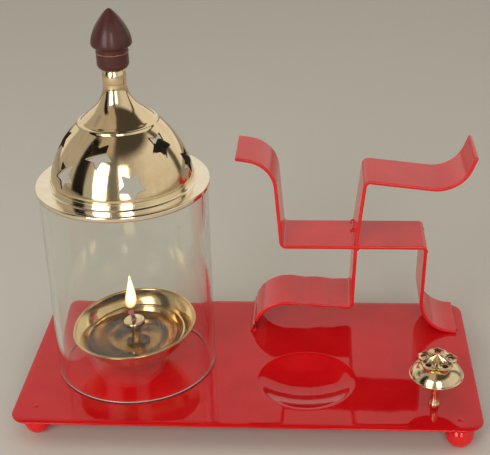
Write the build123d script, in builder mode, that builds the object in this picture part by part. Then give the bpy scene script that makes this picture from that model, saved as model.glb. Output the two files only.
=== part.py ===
"""Prayer lamp stand: an enamelled tray on ball feet with a glass-chimneyed oil lamp, a standing
emblem of bent strip, a pressed dish and an incense-stick holder.

Millimetres. +Z is up, +X runs along the tray, -Y is the front. The origin is on the surface that
the feet stand on, under the centre of the tray.
"""

import os
from math import cos, pi, radians, sin, sqrt

from build123d import *

os.makedirs("parts", exist_ok=True)

# ---------------------------------------------------------------- driving dimensions

# Tray and feet
tray_length = 250.0
tray_width = 126.0
tray_sheet = 1.2
tray_corner_r = 10.0
tray_edge_r = 0.45
foot_d = 15.2
foot_flat = 0.2
foot_x = 113.0
# The front feet aren't quite in line
foot_front_left_y = -48.5
foot_front_right_y = -54.0
foot_back_y = 50.5
rivet_r = 1.6
rivet_head_r = 1.9
rivet_head_h = 0.25

# Dish pressed in the tray
dish_x = 32.2
dish_y = -20.7
dish_r = 26.2
dish_depth = 5.6
dish_lip_r = 2.0

# Lamp: where it stands, and its glass chimney
lamp_x = -64.6
lamp_y = -1.7
chimney_d = 89.3
chimney_wall = 3.2
chimney_height = 112.0

# Lid: flange, dome and collar
flange_sheet = 1.2
flange_gap = 0.35
flange_r = 45.95
flange_lip_drop = 1.5
flange_hole_r = 36.4
flange_collar_r = 38.2
flange_collar_h = 3.4
dome_sheet = 0.8
dome_base_r = 37.5
dome_skirt_h = 4.4
dome_bead_r = 0.55
star_r = 7.7
star_notch_r = 4.0
# Stars: turn round the lid, and how far up the shoulder. Punched by hand, so not quite level
upper_stars = ((-169, 0.68), (-102, 0.67), (-32, 0.69), (41, 0.68), (116, 0.68))
lower_stars = ((-136, 0.27), (-72, 0.21), (-4, 0.24), (70, 0.24), (147, 0.24))

# Knob and its stud
knob_stud_r = 2.0
knob_stud_nut_af = 7.0

# Oil bowl, which leans to the left and to the front on its pedestal
bowl_x = lamp_x + 1.0
bowl_y = lamp_y + 1.0
bowl_lean_x = 3.97
bowl_lean_y = 2.62
bowl_seat = 4.5
bowl_depth = 21.0
bowl_rim_r = 34.8
bowl_step_r = 28.7
bowl_step_h = 13.7
bowl_base_r = 9.0
bowl_sheet = 0.9
oil_level = 16.4
stud_r = 2.4
post_bore_r = 1.4
wick_r = 1.15

# Emblem of bent strip, standing on the tray
strip = 2.0
emblem_front = 28.2
emblem_depth = 33.0
bar_z = 56.6
crossing_x = 59.5

# Incense holder
incense_x = 100.65
incense_y = -40.0
incense_rim_r = 14.2
incense_rim_z = 18.5
incense_top_z = 26.2
incense_sheet = 1.3
flower_r = 10.7
flower_petals = 5
flower_turn = 11
flower_hole_circle_r = 7.4
stick_hole_r = 1.5
incense_stud_r = 2.0

# Fasteners under the tray
nut_h = 3.2
bowl_nut_af = 8.0
incense_nut_af = 7.0
washer_h = 0.8
stud_end = 1.2

# ---------------------------------------------------------------- derived places

foot_height = foot_d - 2 * foot_flat
tray_top = foot_height + tray_sheet
foot_places = {
    "front_left": (-foot_x, foot_front_left_y),
    "front_right": (foot_x, foot_front_right_y),
    "back_left": (-foot_x, foot_back_y),
    "back_right": (foot_x, foot_back_y),
}
front = Vector(0, -1, 0)


def section_at(x, y, z):
    """Upright plane facing the front: its X is the radius, its Y is the height above z."""
    return Plane(origin=(x, y, z), x_dir=(1, 0, 0), z_dir=front)


def axis_at(x, y):
    """Vertical axis through a place on the tray."""
    return Axis((x, y, tray_top), (0, 0, 1))


# ---------------------------------------------------------------- tray and feet

dish_section = section_at(dish_x, dish_y, tray_top)
dish_axis = axis_at(dish_x, dish_y)
dish_ball_r = (dish_r**2 + dish_depth**2) / (2 * dish_depth)
dish_ball_z = dish_ball_r - dish_depth
dish_under_r = sqrt((dish_ball_r + tray_sheet) ** 2 - (dish_ball_z + tray_sheet) ** 2)

with BuildPart() as tray:
    with BuildSketch(Plane.XY.offset(foot_height)):
        RectangleRounded(tray_length, tray_width, tray_corner_r)
    extrude(amount=tray_sheet)
    # The dish's outside, a shallow ball cap below the sheet
    with BuildSketch(dish_section):
        with BuildLine():
            Line((0, -tray_sheet), (dish_under_r, -tray_sheet))
            RadiusArc(
                (dish_under_r, -tray_sheet),
                (0, -dish_depth - tray_sheet),
                dish_ball_r + tray_sheet,
            )
            Line((0, -dish_depth - tray_sheet), (0, -tray_sheet))
        make_face()
    revolve(axis=dish_axis)
    # The dish's inside
    with BuildSketch(dish_section):
        with BuildLine():
            Line((0, 0), (dish_r, 0))
            RadiusArc((dish_r, 0), (0, -dish_depth), dish_ball_r)
            Line((0, -dish_depth), (0, 0))
        make_face()
    revolve(axis=dish_axis, mode=Mode.SUBTRACT)
    dish_lip = tray.edges().filter_by(GeomType.CIRCLE).filter_by(
        lambda edge: abs(edge.radius - dish_r) < 0.01
    )
    fillet(dish_lip, dish_lip_r)
    rim_edges = (
        tray.faces().filter_by(Axis.Z).sort_by(Axis.Z)[-1].outer_wire().edges()
        + tray.faces().filter_by(Plane.XY).sort_by(Axis.Z)[0].outer_wire().edges()
    )
    fillet(rim_edges, tray_edge_r)
    # Holes for the lamp's stud, the incense holder's stud and the feet's rivets
    with BuildSketch(Plane.XY.offset(foot_height)):
        with Locations((bowl_x, bowl_y)):
            Circle(stud_r + 0.2)
        with Locations((incense_x, incense_y)):
            Circle(incense_stud_r + 0.2)
        with Locations(*foot_places.values()):
            Circle(rivet_r)
    extrude(amount=tray_sheet, mode=Mode.SUBTRACT)
tray.part.label = "tray"
export_step(tray.part, "parts/tray.step")

foot_centre_z = foot_d / 2 - foot_flat
for place, (x, y) in foot_places.items():
    with BuildPart() as foot:
        with Locations((x, y, foot_centre_z)):
            Sphere(foot_d / 2)
        # Small flats: one stands on the table, the other meets the tray
        split(bisect_by=Plane.XY, keep=Keep.TOP)
        split(bisect_by=Plane.XY.offset(foot_height), keep=Keep.BOTTOM)
        with BuildSketch(Plane.XY.offset(foot_centre_z)):
            with Locations((x, y)):
                Circle(rivet_r)
        extrude(amount=foot_d, mode=Mode.SUBTRACT)
    foot.part.label = "foot_" + place
    export_step(foot.part, f"parts/foot_{place}.step")

rivet_ball_r = (rivet_head_r**2 + rivet_head_h**2) / (2 * rivet_head_h)
with BuildPart() as foot_rivets:
    for x, y in foot_places.values():
        with BuildSketch(section_at(x, y, tray_top)):
            with BuildLine():
                Line((0, foot_centre_z - tray_top), (rivet_r, foot_centre_z - tray_top))
                Line((rivet_r, foot_centre_z - tray_top), (rivet_r, 0))
                Line((rivet_r, 0), (rivet_head_r, 0))
                RadiusArc((rivet_head_r, 0), (0, rivet_head_h), -rivet_ball_r)
                Line((0, rivet_head_h), (0, foot_centre_z - tray_top))
            make_face()
        revolve(axis=axis_at(x, y))
foot_rivets.part.label = "foot_rivets"
export_step(foot_rivets.part, "parts/foot_rivets.step")

# ---------------------------------------------------------------- emblem of bent strip

emblem_plane = section_at(0, emblem_front, tray_top)
bar_top = Plane.XY.offset(tray_top + bar_z + strip / 2)
bar_under = Plane.XY.offset(tray_top + bar_z - strip / 2)
bar_lip_end = Plane.XY.offset(tray_top + bar_z - 3.2)
on_tray = Plane.XY.offset(tray_top)
# Centre line of each strip in the emblem's plane, height above the tray; the radius of each bend;
# and the flats its ends are ground to
strips = {
    "crossbar": (
        [(-7.7, 111.2), (13.3, 107.9), (17.3, bar_z), (99.0, bar_z), (99.0, bar_z - 3.2)],
        [18.0, 3.0, 2.0],
        [],
    ),
    "right_leg": (
        [(99.0, bar_z - 2.2), (97.6, strip / 2), (119.4, strip / 2)],
        [20.0],
        [(bar_lip_end, Keep.BOTTOM)],
    ),
    "upper_arm": (
        [(crossing_x, bar_z), (64.2, 97.6), (115.9, 91.4), (123.9, 112.4)],
        [2.8, 19.5],
        [(bar_top, Keep.TOP)],
    ),
    "lower_arm": (
        [(crossing_x, bar_z), (58.0, 16.7), (7.2, 20.2), (-1.8, -2.2)],
        [2.8, 20.0],
        [(bar_under, Keep.BOTTOM), (on_tray, Keep.TOP)],
    ),
}
emblem_strips = []
for name, (centre_line, bends, ground_ends) in strips.items():
    with BuildPart() as emblem_strip:
        with BuildSketch(emblem_plane):
            with BuildLine():
                FilletPolyline(*centre_line, radius=bends)
            trace(line_width=strip)
        extrude(amount=-emblem_depth)
        for end_plane, kept_side in ground_ends:
            split(bisect_by=end_plane, keep=kept_side)
    emblem_strip.part.label = "emblem_" + name
    export_step(emblem_strip.part, f"parts/emblem_{name}.step")
    emblem_strips.append(emblem_strip.part)

# Weld tacks: short beads in the corners where the strips meet, and at the two ends on the tray
emblem_back = emblem_front + emblem_depth
weld_r = 1.4
weld_length = 3.0
crossing_half = strip / 2 + 0.4
weld_places = [
    (crossing_x - crossing_half, emblem_front + 1.6, bar_z + 1.2),
    (crossing_x - crossing_half, emblem_front + 20.5, bar_z + 1.2),
    (crossing_x - crossing_half, emblem_back - 1.8, bar_z + 1.2),
    (crossing_x + crossing_half, emblem_front + 1.6, bar_z - 1.2),
    (crossing_x + crossing_half, emblem_back - 1.8, bar_z - 1.2),
    (100.3, emblem_front + 3.0, bar_z - 3.1),
    (100.3, emblem_back - 3.0, bar_z - 3.1),
    (1.3, emblem_front + 3.4, 0.5),
    (1.3, emblem_back - 3.4, 0.5),
    (119.9, emblem_front + 6.0, 0.6),
    (119.9, emblem_back - 6.0, 0.6),
]
with BuildPart() as emblem_welds:
    for x, y, z in weld_places:
        with Locations((x, y, tray_top + z)):
            Cylinder(weld_r, weld_length, rotation=(90, 0, 0))
    for welded in emblem_strips:
        add(welded, mode=Mode.SUBTRACT)
    split(bisect_by=on_tray, keep=Keep.TOP)
emblem_welds.part.label = "emblem_welds"
export_step(emblem_welds.part, "parts/emblem_welds.step")

# ---------------------------------------------------------------- oil lamp

bowl_up = Vector(-sin(radians(bowl_lean_x)), -sin(radians(bowl_lean_y)), 1).normalized()
bowl_side = Vector(0, 1, 0).cross(bowl_up).normalized()
bowl_section = Plane(
    origin=(bowl_x, bowl_y, tray_top + bowl_seat),
    x_dir=bowl_side,
    z_dir=bowl_side.cross(bowl_up),
)
bowl_axis = Axis((bowl_x, bowl_y, tray_top + bowl_seat), bowl_up)
bowl_floor = Plane(origin=(bowl_x, bowl_y, tray_top + bowl_seat), z_dir=bowl_up)
ledge = 0.8


# Outline of the bowl's hollow, from its floor to just above the rim
hollow_r = bowl_step_r - bowl_sheet
with BuildSketch(bowl_section) as bowl_hollow:
    with BuildLine():
        Line((0, bowl_sheet), (bowl_base_r, bowl_sheet))
        ThreePointArc((bowl_base_r, bowl_sheet), (21.6, 5.6), (hollow_r - ledge, bowl_step_h))
        Line((hollow_r - ledge, bowl_step_h), (hollow_r, bowl_step_h + 0.3))
        ThreePointArc(
            (hollow_r, bowl_step_h + 0.3),
            (hollow_r + 2.3, bowl_step_h + 3.8),
            (bowl_rim_r - bowl_sheet, bowl_depth),
        )
        Polyline(
            (bowl_rim_r - bowl_sheet, bowl_depth),
            (bowl_rim_r - bowl_sheet, bowl_depth + 1),
            (0, bowl_depth + 1),
            (0, bowl_sheet),
        )
    make_face()

with BuildPart() as oil_bowl:
    with BuildSketch(bowl_section):
        with BuildLine():
            Line((0, 0), (bowl_base_r, 0))
            ThreePointArc((bowl_base_r, 0), (22.2, 4.9), (bowl_step_r, bowl_step_h))
            ThreePointArc(
                (bowl_step_r, bowl_step_h),
                (bowl_step_r + 2.3, bowl_step_h + 3.7),
                (bowl_rim_r, bowl_depth - 0.5),
            )
            Line((bowl_rim_r, bowl_depth - 0.5), (bowl_rim_r, bowl_depth))
            Line((bowl_rim_r, bowl_depth), (0, bowl_depth))
            Line((0, bowl_depth), (0, 0))
        make_face()
    revolve(axis=bowl_axis)
    revolve(bowl_hollow.sketch, axis=bowl_axis, mode=Mode.SUBTRACT)
oil_bowl.part.label = "oil_bowl"
export_step(oil_bowl.part, "parts/oil_bowl.step")

under_tray = -tray_sheet
bowl_stud_end = under_tray - washer_h - nut_h - stud_end
with BuildPart() as bowl_pedestal:
    with BuildSketch(section_at(bowl_x, bowl_y, tray_top)):
        with BuildLine():
            Polyline(
                (0, bowl_stud_end),
                (stud_r, bowl_stud_end),
                (stud_r, 0),
                (7.5, 0),
                (7.5, 0.8),
            )
            ThreePointArc((7.5, 0.8), (5.0, 2.2), (6.2, 3.6))
            Polyline((6.2, 3.6), (6.2, 6.0), (0, 6.0), (0, bowl_stud_end))
        make_face()
    revolve(axis=axis_at(bowl_x, bowl_y))
    # Its top is filed to the bowl's lean
    split(bisect_by=bowl_floor, keep=Keep.BOTTOM)
bowl_pedestal.part.label = "bowl_pedestal"
export_step(bowl_pedestal.part, "parts/bowl_pedestal.step")

# Wick holder: a turned post with a round head, upright in the bowl
post_top = 22.6
post_head_r = 5.9
post_head_low = post_top - 2.4

with BuildSketch(bowl_section) as post_outline:
    with BuildLine():
        Polyline((0, bowl_sheet), (7.0, bowl_sheet), (7.0, bowl_sheet + 1.0))
        ThreePointArc((7.0, bowl_sheet + 1.0), (3.3, 6.5), (2.7, 12.5))
        ThreePointArc((2.7, 12.5), (3.2, 16.2), (post_head_r - 0.6, post_head_low - 0.8))
        ThreePointArc(
            (post_head_r - 0.6, post_head_low - 0.8),
            (post_head_r - 0.1, post_head_low - 0.5),
            (post_head_r, post_head_low),
        )
        Line((post_head_r, post_head_low), (post_head_r, post_top - 1.0))
        ThreePointArc(
            (post_head_r, post_top - 1.0),
            (post_head_r - 0.2, post_top - 0.5),
            (post_head_r - 0.7, post_top - 0.3),
        )
        Polyline((post_head_r - 0.7, post_top - 0.3), (0, post_top), (0, bowl_sheet))
    make_face()

with BuildPart() as wick_holder:
    revolve(post_outline.sketch, axis=bowl_axis)
    with BuildSketch(bowl_floor):
        Circle(post_bore_r)
    extrude(amount=post_top + 1, mode=Mode.SUBTRACT)
wick_holder.part.label = "wick_holder"
export_step(wick_holder.part, "parts/wick_holder.step")

with BuildPart() as lamp_oil:
    revolve(bowl_hollow.sketch, axis=bowl_axis)
    # Oil lies level whatever the bowl's lean
    split(bisect_by=Plane.XY.offset(tray_top + oil_level), keep=Keep.BOTTOM)
    revolve(post_outline.sketch, axis=bowl_axis, mode=Mode.SUBTRACT)
lamp_oil.part.label = "lamp_oil"
export_step(lamp_oil.part, "parts/lamp_oil.step")

wick_foot = bowl_axis.position + bowl_up * 3.0
wick_bend = bowl_axis.position + bowl_up * (post_top + 1.0)
wick_end = Vector(-66.4, -2.4, tray_top + 33.2)
with BuildPart() as cotton_wick:
    with BuildLine() as wick_line:
        FilletPolyline(wick_foot, wick_bend, wick_end, radius=3.0)
    with BuildSketch(Plane(origin=wick_foot, z_dir=bowl_up)):
        Circle(wick_r)
    sweep(path=wick_line.line)
cotton_wick.part.label = "cotton_wick"
export_step(cotton_wick.part, "parts/cotton_wick.step")

# ---------------------------------------------------------------- glass chimney

with BuildPart() as glass_chimney:
    with BuildSketch(section_at(lamp_x, lamp_y, tray_top)):
        with Locations((chimney_d / 2 - chimney_wall / 2, chimney_height / 2)):
            Rectangle(chimney_wall, chimney_height)
    revolve(axis=axis_at(lamp_x, lamp_y))
    fillet(glass_chimney.edges().filter_by(GeomType.CIRCLE), 0.6)
glass_chimney.part.label = "glass_chimney"
export_step(glass_chimney.part, "parts/glass_chimney.step")

# ---------------------------------------------------------------- lid

lid_axis = axis_at(lamp_x, lamp_y)
# Heights in the lid are above the top of its flange
lid_z = tray_top + chimney_height + flange_sheet
lid_section = section_at(lamp_x, lamp_y, lid_z)
lip_inner_r = chimney_d / 2 + flange_gap

with BuildPart() as lid_flange:
    with BuildSketch(lid_section):
        with BuildLine():
            Polyline(
                (flange_hole_r, 0),
                (flange_hole_r, -flange_sheet),
                (lip_inner_r, -flange_sheet),
                (lip_inner_r, -flange_sheet - flange_lip_drop),
                (flange_r, -flange_sheet - flange_lip_drop),
                (flange_r, -0.5),
            )
            ThreePointArc((flange_r, -0.5), (flange_r - 0.15, -0.15), (flange_r - 0.5, 0))
            Polyline(
                (flange_r - 0.5, 0),
                (flange_collar_r, 0),
                (flange_collar_r, flange_collar_h),
                (dome_base_r, flange_collar_h),
                (dome_base_r, 0),
                (flange_hole_r, 0),
            )
        make_face()
    revolve(axis=lid_axis)
lid_flange.part.label = "lid_flange"
export_step(lid_flange.part, "parts/lid_flange.step")

# Corners of a star, from its bottom tip round
star_points = [
    (radius * sin(pi * (1 + i / 5)), radius * cos(pi * (1 + i / 5)))
    for i, radius in enumerate([star_r, star_notch_r] * 5)
]

# The dome's outside: a skirt, a round shoulder, a short cone and a neck that curves up from it
skirt_top = (dome_base_r, dome_skirt_h)
shoulder_mid = (31.5, 20.0)
ring_point = (20.3, 33.6)
neck_cone_length = 9.4
neck_top = (6.0, 54.6)


def inside(outline, part_way):
    """Point on the sheet's inside, across from a point on its outside."""
    along = outline % part_way
    return outline @ part_way + Vector(-along.Y, along.X) * dome_sheet


with BuildPart() as lid_dome:
    with BuildSketch(lid_section):
        with BuildLine():
            skirt = Line((dome_base_r, 0), skirt_top)
            shoulder = Spline(
                skirt_top,
                shoulder_mid,
                ring_point,
                tangents=[(-0.21, 0.98), (-0.75, 0.66)],
            )
            cone = Line(ring_point, shoulder @ 1 + (shoulder % 1) * neck_cone_length)
            neck = TangentArc(cone @ 1, neck_top, tangent=cone % 1)
            Line(neck @ 1, inside(neck, 1))
            ThreePointArc(inside(neck, 1), inside(neck, 0.5), inside(neck, 0))
            Line(inside(cone, 1), inside(cone, 0))
            Spline(
                inside(shoulder, 1),
                inside(shoulder, 0.5),
                inside(shoulder, 0),
                tangents=[-(shoulder % 1), -(shoulder % 0)],
            )
            Polyline(inside(shoulder, 0), inside(skirt, 0), skirt @ 0)
        make_face()
    revolve(axis=lid_axis)
    # Raised ring where the neck begins
    with BuildSketch(lid_section):
        with Locations((ring_point[0] - 0.1, ring_point[1] - 0.1)):
            Circle(dome_bead_r)
    revolve(axis=lid_axis)
    # Stars punched point down, in two staggered rows round the shoulder
    for angle, part_way in upper_stars + lower_stars:
        place = shoulder @ part_way
        slope = shoulder % part_way
        star_plane = Plane(
            origin=(lamp_x, lamp_y, lid_z) + Vector(place.X, 0, place.Y).rotate(Axis.Z, angle),
            x_dir=Vector(0, 1, 0).rotate(Axis.Z, angle),
            z_dir=Vector(slope.Y, 0, -slope.X).rotate(Axis.Z, angle),
        )
        with BuildSketch(star_plane):
            with BuildLine():
                Polyline(*star_points, close=True)
            make_face()
        extrude(amount=4, both=True, mode=Mode.SUBTRACT)
lid_dome.part.label = "lid_dome"
export_step(lid_dome.part, "parts/lid_dome.step")

# Collar: a short barrel-shaped tube on the dome's neck, closed at the top for the knob's stud
collar_top = 61.1
with BuildPart() as lid_collar:
    with BuildSketch(lid_section):
        with BuildLine():
            Line((neck_top[0], neck_top[1]), (neck_top[0] + 0.1, neck_top[1]))
            ThreePointArc((neck_top[0] + 0.1, neck_top[1]), (6.25, 56.6), (5.4, collar_top))
            Polyline(
                (5.4, collar_top),
                (knob_stud_r + 0.1, collar_top),
                (knob_stud_r + 0.1, collar_top - 1.0),
                (4.8, collar_top - 1.0),
                (neck_top[0] - dome_sheet, neck_top[1]),
                neck_top,
            )
        make_face()
    revolve(axis=lid_axis)
lid_collar.part.label = "lid_collar"
export_step(lid_collar.part, "parts/lid_collar.step")

# Knob: a pointed cap over a short cylinder, moulded in one
knob_tip = 91.9
knob_tip_r = 1.2
with BuildPart() as knob:
    with BuildSketch(lid_section):
        with BuildLine():
            Polyline((0, collar_top), (5.4, collar_top))
            ThreePointArc((5.4, collar_top), (7.4, 62.2), (8.15, 64.0))
            Polyline((8.15, 64.0), (8.15, 72.0), (9.9, 73.4))
            ThreePointArc((9.9, 73.4), (10.35, 74.2), (10.35, 75.2))
            tip = CenterArc((0, knob_tip - knob_tip_r), knob_tip_r, 49, 41)
            Spline((10.35, 75.2), (9.35, 79.3), (7.8, 82.8), tip @ 0, tangents=[(-0.05, 1), tip % 0])
            Line((0, knob_tip), (0, collar_top))
        make_face()
    revolve(axis=lid_axis)
    with BuildSketch(Plane.XY.offset(lid_z + collar_top)):
        with Locations((lamp_x, lamp_y)):
            Circle(knob_stud_r)
    extrude(amount=8, mode=Mode.SUBTRACT)
knob.part.label = "knob"
export_step(knob.part, "parts/knob.step")

knob_nut_h = 2.4
knob_stud_low = collar_top - 1.0 - knob_nut_h - 1.0
with BuildPart() as knob_stud:
    with BuildSketch(Plane.XY.offset(lid_z + knob_stud_low)):
        with Locations((lamp_x, lamp_y)):
            Circle(knob_stud_r)
    extrude(amount=collar_top + 8 - knob_stud_low)
knob_stud.part.label = "knob_stud"
export_step(knob_stud.part, "parts/knob_stud.step")

with BuildPart() as knob_nut:
    with BuildSketch(Plane.XY.offset(lid_z + collar_top - 1.0 - knob_nut_h)):
        with Locations((lamp_x, lamp_y)):
            RegularPolygon(knob_stud_nut_af / 2, 6, major_radius=False)
            Circle(knob_stud_r, mode=Mode.SUBTRACT)
    extrude(amount=knob_nut_h)
knob_nut.part.label = "knob_nut"
export_step(knob_nut.part, "parts/knob_nut.step")

# ---------------------------------------------------------------- incense holder

incense_section = section_at(incense_x, incense_y, tray_top)
incense_axis = axis_at(incense_x, incense_y)
flower_z = 26.9
flower_sheet = 1.3
spigot_r = 1.5
incense_stud_end = under_tray - washer_h - nut_h - stud_end

with BuildPart() as incense_stem:
    with BuildSketch(incense_section):
        with BuildLine():
            Polyline(
                (0, incense_stud_end),
                (incense_stud_r, incense_stud_end),
                (incense_stud_r, 0),
                (3.35, 0),
                (3.35, 0.5),
            )
            ThreePointArc((3.35, 0.5), (2.5, 3.2), (2.25, 7.0))
            Line((2.25, 7.0), (2.25, 15.0))
            ThreePointArc((2.25, 15.0), (2.6, 20.5), (4.2, incense_top_z - incense_sheet))
            Polyline(
                (4.2, incense_top_z - incense_sheet),
                (spigot_r, incense_top_z - incense_sheet),
                (spigot_r, flower_z + 1.6),
                (0, flower_z + 1.6),
                (0, incense_stud_end),
            )
        make_face()
    revolve(axis=incense_axis)
incense_stem.part.label = "incense_stem"
export_step(incense_stem.part, "parts/incense_stem.step")

stick_places = [
    (
        incense_x + flower_hole_circle_r * cos(radians(flower_turn + i * 360 / flower_petals)),
        incense_y + flower_hole_circle_r * sin(radians(flower_turn + i * 360 / flower_petals)),
    )
    for i in range(flower_petals)
]
with BuildPart() as incense_dome:
    with BuildSketch(incense_section):
        with BuildLine():
            Line((incense_rim_r - 0.3, incense_rim_z), (incense_rim_r, incense_rim_z + 0.3))
            ThreePointArc(
                (incense_rim_r, incense_rim_z + 0.3),
                (11.6, 23.2),
                (4.6, incense_top_z),
            )
            Polyline(
                (4.6, incense_top_z),
                (spigot_r, incense_top_z),
                (spigot_r, incense_top_z - incense_sheet),
                (4.2, incense_top_z - incense_sheet),
            )
            ThreePointArc(
                (4.2, incense_top_z - incense_sheet),
                (10.6, 22.3),
                (incense_rim_r - 1.2, incense_rim_z),
            )
            Line((incense_rim_r - 1.2, incense_rim_z), (incense_rim_r - 0.3, incense_rim_z))
        make_face()
    revolve(axis=incense_axis)
    # The sticks pass on through the dome into its hollow
    with BuildSketch(Plane.XY.offset(tray_top + incense_rim_z)):
        with Locations(*stick_places):
            Circle(stick_hole_r)
    extrude(amount=incense_top_z, mode=Mode.SUBTRACT)
incense_dome.part.label = "incense_dome"
export_step(incense_dome.part, "parts/incense_dome.step")

petal_r = 4.6
petal_circle_r = flower_r - petal_r
with BuildPart() as incense_flower:
    # Short neck under the flower, standing on the dome
    with BuildSketch(Plane.XY.offset(tray_top + incense_top_z)):
        with Locations((incense_x, incense_y)):
            Circle(4.6)
    extrude(amount=flower_z - incense_top_z)
    with BuildSketch(Plane.XY.offset(tray_top + flower_z)):
        with Locations((incense_x, incense_y)):
            Circle(petal_circle_r)
            with PolarLocations(petal_circle_r, flower_petals, start_angle=flower_turn):
                Circle(petal_r)
    extrude(amount=flower_sheet)
    # Pointed centre
    with BuildSketch(incense_section):
        with BuildLine():
            Polyline(
                (0, flower_z + flower_sheet),
                (3.6, flower_z + flower_sheet),
                (0.7, flower_z + 4.1),
                (0, flower_z + 4.3),
                (0, flower_z + flower_sheet),
            )
        make_face()
    revolve(axis=incense_axis)
    with BuildSketch(Plane.XY.offset(tray_top + flower_z)):
        with Locations(*stick_places):
            Circle(stick_hole_r)
    extrude(amount=flower_sheet, mode=Mode.SUBTRACT)
    with BuildSketch(Plane.XY.offset(tray_top + incense_top_z)):
        with Locations((incense_x, incense_y)):
            Circle(spigot_r)
    extrude(amount=flower_z + 1.6 - incense_top_z, mode=Mode.SUBTRACT)
incense_flower.part.label = "incense_flower"
export_step(incense_flower.part, "parts/incense_flower.step")

# ---------------------------------------------------------------- washers and nuts under the tray

fixings = {
    "bowl": (bowl_x, bowl_y, stud_r, bowl_nut_af),
    "incense": (incense_x, incense_y, incense_stud_r, incense_nut_af),
}
for name, (x, y, bore_r, across_flats) in fixings.items():
    with BuildPart() as washer:
        with BuildSketch(Plane.XY.offset(foot_height)):
            with Locations((x, y)):
                Circle(across_flats / 2 + 1.2)
                Circle(bore_r + 0.1, mode=Mode.SUBTRACT)
        extrude(amount=-washer_h)
    washer.part.label = name + "_washer"
    export_step(washer.part, f"parts/{name}_washer.step")

    with BuildPart() as nut:
        with BuildSketch(Plane.XY.offset(foot_height - washer_h)):
            with Locations((x, y)):
                RegularPolygon(across_flats / 2, 6, major_radius=False)
                Circle(bore_r, mode=Mode.SUBTRACT)
        extrude(amount=-nut_h)
        chamfer(nut.edges().group_by(Axis.Z)[0].filter_by(GeomType.LINE), 0.35)
    nut.part.label = name + "_nut"
    export_step(nut.part, f"parts/{name}_nut.step")
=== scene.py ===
import random
from math import atan2, cos, degrees, exp, hypot, pi, radians, sin, sqrt, tan

import bmesh
import bpy
from mathutils import Matrix, Vector, noise
from mathutils.bvhtree import BVHTree
from mathutils.interpolate import poly_3d_calc


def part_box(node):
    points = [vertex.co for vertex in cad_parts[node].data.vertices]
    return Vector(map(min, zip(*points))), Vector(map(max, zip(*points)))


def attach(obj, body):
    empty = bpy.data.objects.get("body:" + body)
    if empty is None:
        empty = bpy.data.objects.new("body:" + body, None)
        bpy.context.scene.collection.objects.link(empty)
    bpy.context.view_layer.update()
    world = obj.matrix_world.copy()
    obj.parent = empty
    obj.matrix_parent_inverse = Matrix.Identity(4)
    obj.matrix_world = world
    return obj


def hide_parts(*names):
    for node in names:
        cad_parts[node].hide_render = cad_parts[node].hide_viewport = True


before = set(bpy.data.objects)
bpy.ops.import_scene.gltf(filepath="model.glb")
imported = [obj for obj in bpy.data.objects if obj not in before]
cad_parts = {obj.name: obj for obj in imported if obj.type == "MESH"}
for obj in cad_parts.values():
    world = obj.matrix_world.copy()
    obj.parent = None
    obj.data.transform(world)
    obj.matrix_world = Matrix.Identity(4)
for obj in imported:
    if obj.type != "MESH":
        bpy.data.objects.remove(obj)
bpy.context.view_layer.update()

# Outlines and places are in millimetres, in the frame's axes. Blender's own are in metres.
MM = 0.001


def middle(node):
    """A node's centre, in millimetres along the tray and across it."""
    low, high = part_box(node)
    return (low.x + high.x) / 2 / MM, (low.y + high.y) / 2 / MM


def half_size(node):
    """Half of a node's length along the tray, and half of its depth across it."""
    low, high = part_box(node)
    return (high.x - low.x) / 2 / MM, (high.y - low.y) / 2 / MM


def heights(node):
    """A node's lowest and highest height."""
    low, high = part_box(node)
    return low.z / MM, high.z / MM


# ------------------------------------------------------------------ places, from the frame

TOP = heights("tray")[1]
TRAY_X, TRAY_Y = half_size("tray")
LAMP = middle("glass_chimney")
GLASS_R = half_size("glass_chimney")[0]
glass_low, glass_high = heights("glass_chimney")
GLASS_H = glass_high - glass_low
FLANGE_R = half_size("lid_flange")[0]
FLANGE_SHEET = 1.2
LID_Z = glass_high + FLANGE_SHEET
BOWL = middle("bowl_pedestal")
BOWL_STUD_END = heights("bowl_pedestal")[0] - TOP
INCENSE = middle("incense_stem")
STEM_END = heights("incense_stem")[0] - TOP
bar_low, bar_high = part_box("emblem_crossbar")
EMBLEM_Y0, EMBLEM_Y1 = bar_low.y / MM, bar_high.y / MM
DISH = (32.2, -20.7)
DISH_R = 26.2
DISH_DEPTH = 5.6
DISH_LIP_IN, DISH_LIP_OUT = DISH_R - 2.6, DISH_R + 1.6


# ------------------------------------------------------------------ outlines

def arc(a, b, c, steps):
    """Points after a, along the circle through a, b and c, ending at c."""
    (x1, y1), (x2, y2), (x3, y3) = a, b, c
    d = 2 * (x1 * (y2 - y3) + x2 * (y3 - y1) + x3 * (y1 - y2))
    s1, s2, s3 = x1 * x1 + y1 * y1, x2 * x2 + y2 * y2, x3 * x3 + y3 * y3
    cx = (s1 * (y2 - y3) + s2 * (y3 - y1) + s3 * (y1 - y2)) / d
    cy = (s1 * (x3 - x2) + s2 * (x1 - x3) + s3 * (x2 - x1)) / d
    r = hypot(x1 - cx, y1 - cy)
    t1, t2, t3 = (atan2(y - cy, x - cx) for x, y in (a, b, c))
    while t2 < t1:
        t2 += 2 * pi
    while t3 < t1:
        t3 += 2 * pi
    if t2 > t3:
        t3 -= 2 * pi
    return [
        (cx + r * cos(t1 + (t3 - t1) * i / steps), cy + r * sin(t1 + (t3 - t1) * i / steps))
        for i in range(1, steps + 1)
    ]


def smooth_line(ends, steps):
    """A smooth line through all the places but the first and the last, which only steer it."""
    out = [ends[1].copy()]
    for p0, p1, p2, p3 in zip(ends, ends[1:], ends[2:], ends[3:]):
        for t in [k / steps for k in range(1, steps + 1)]:
            bend = (2 * p0 - 5 * p1 + 4 * p2 - p3) * t * t
            out.append(0.5 * (2 * p1 + (p2 - p0) * t + bend + (3 * p1 - p0 - 3 * p2 + p3) * t**3))
    return out


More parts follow.
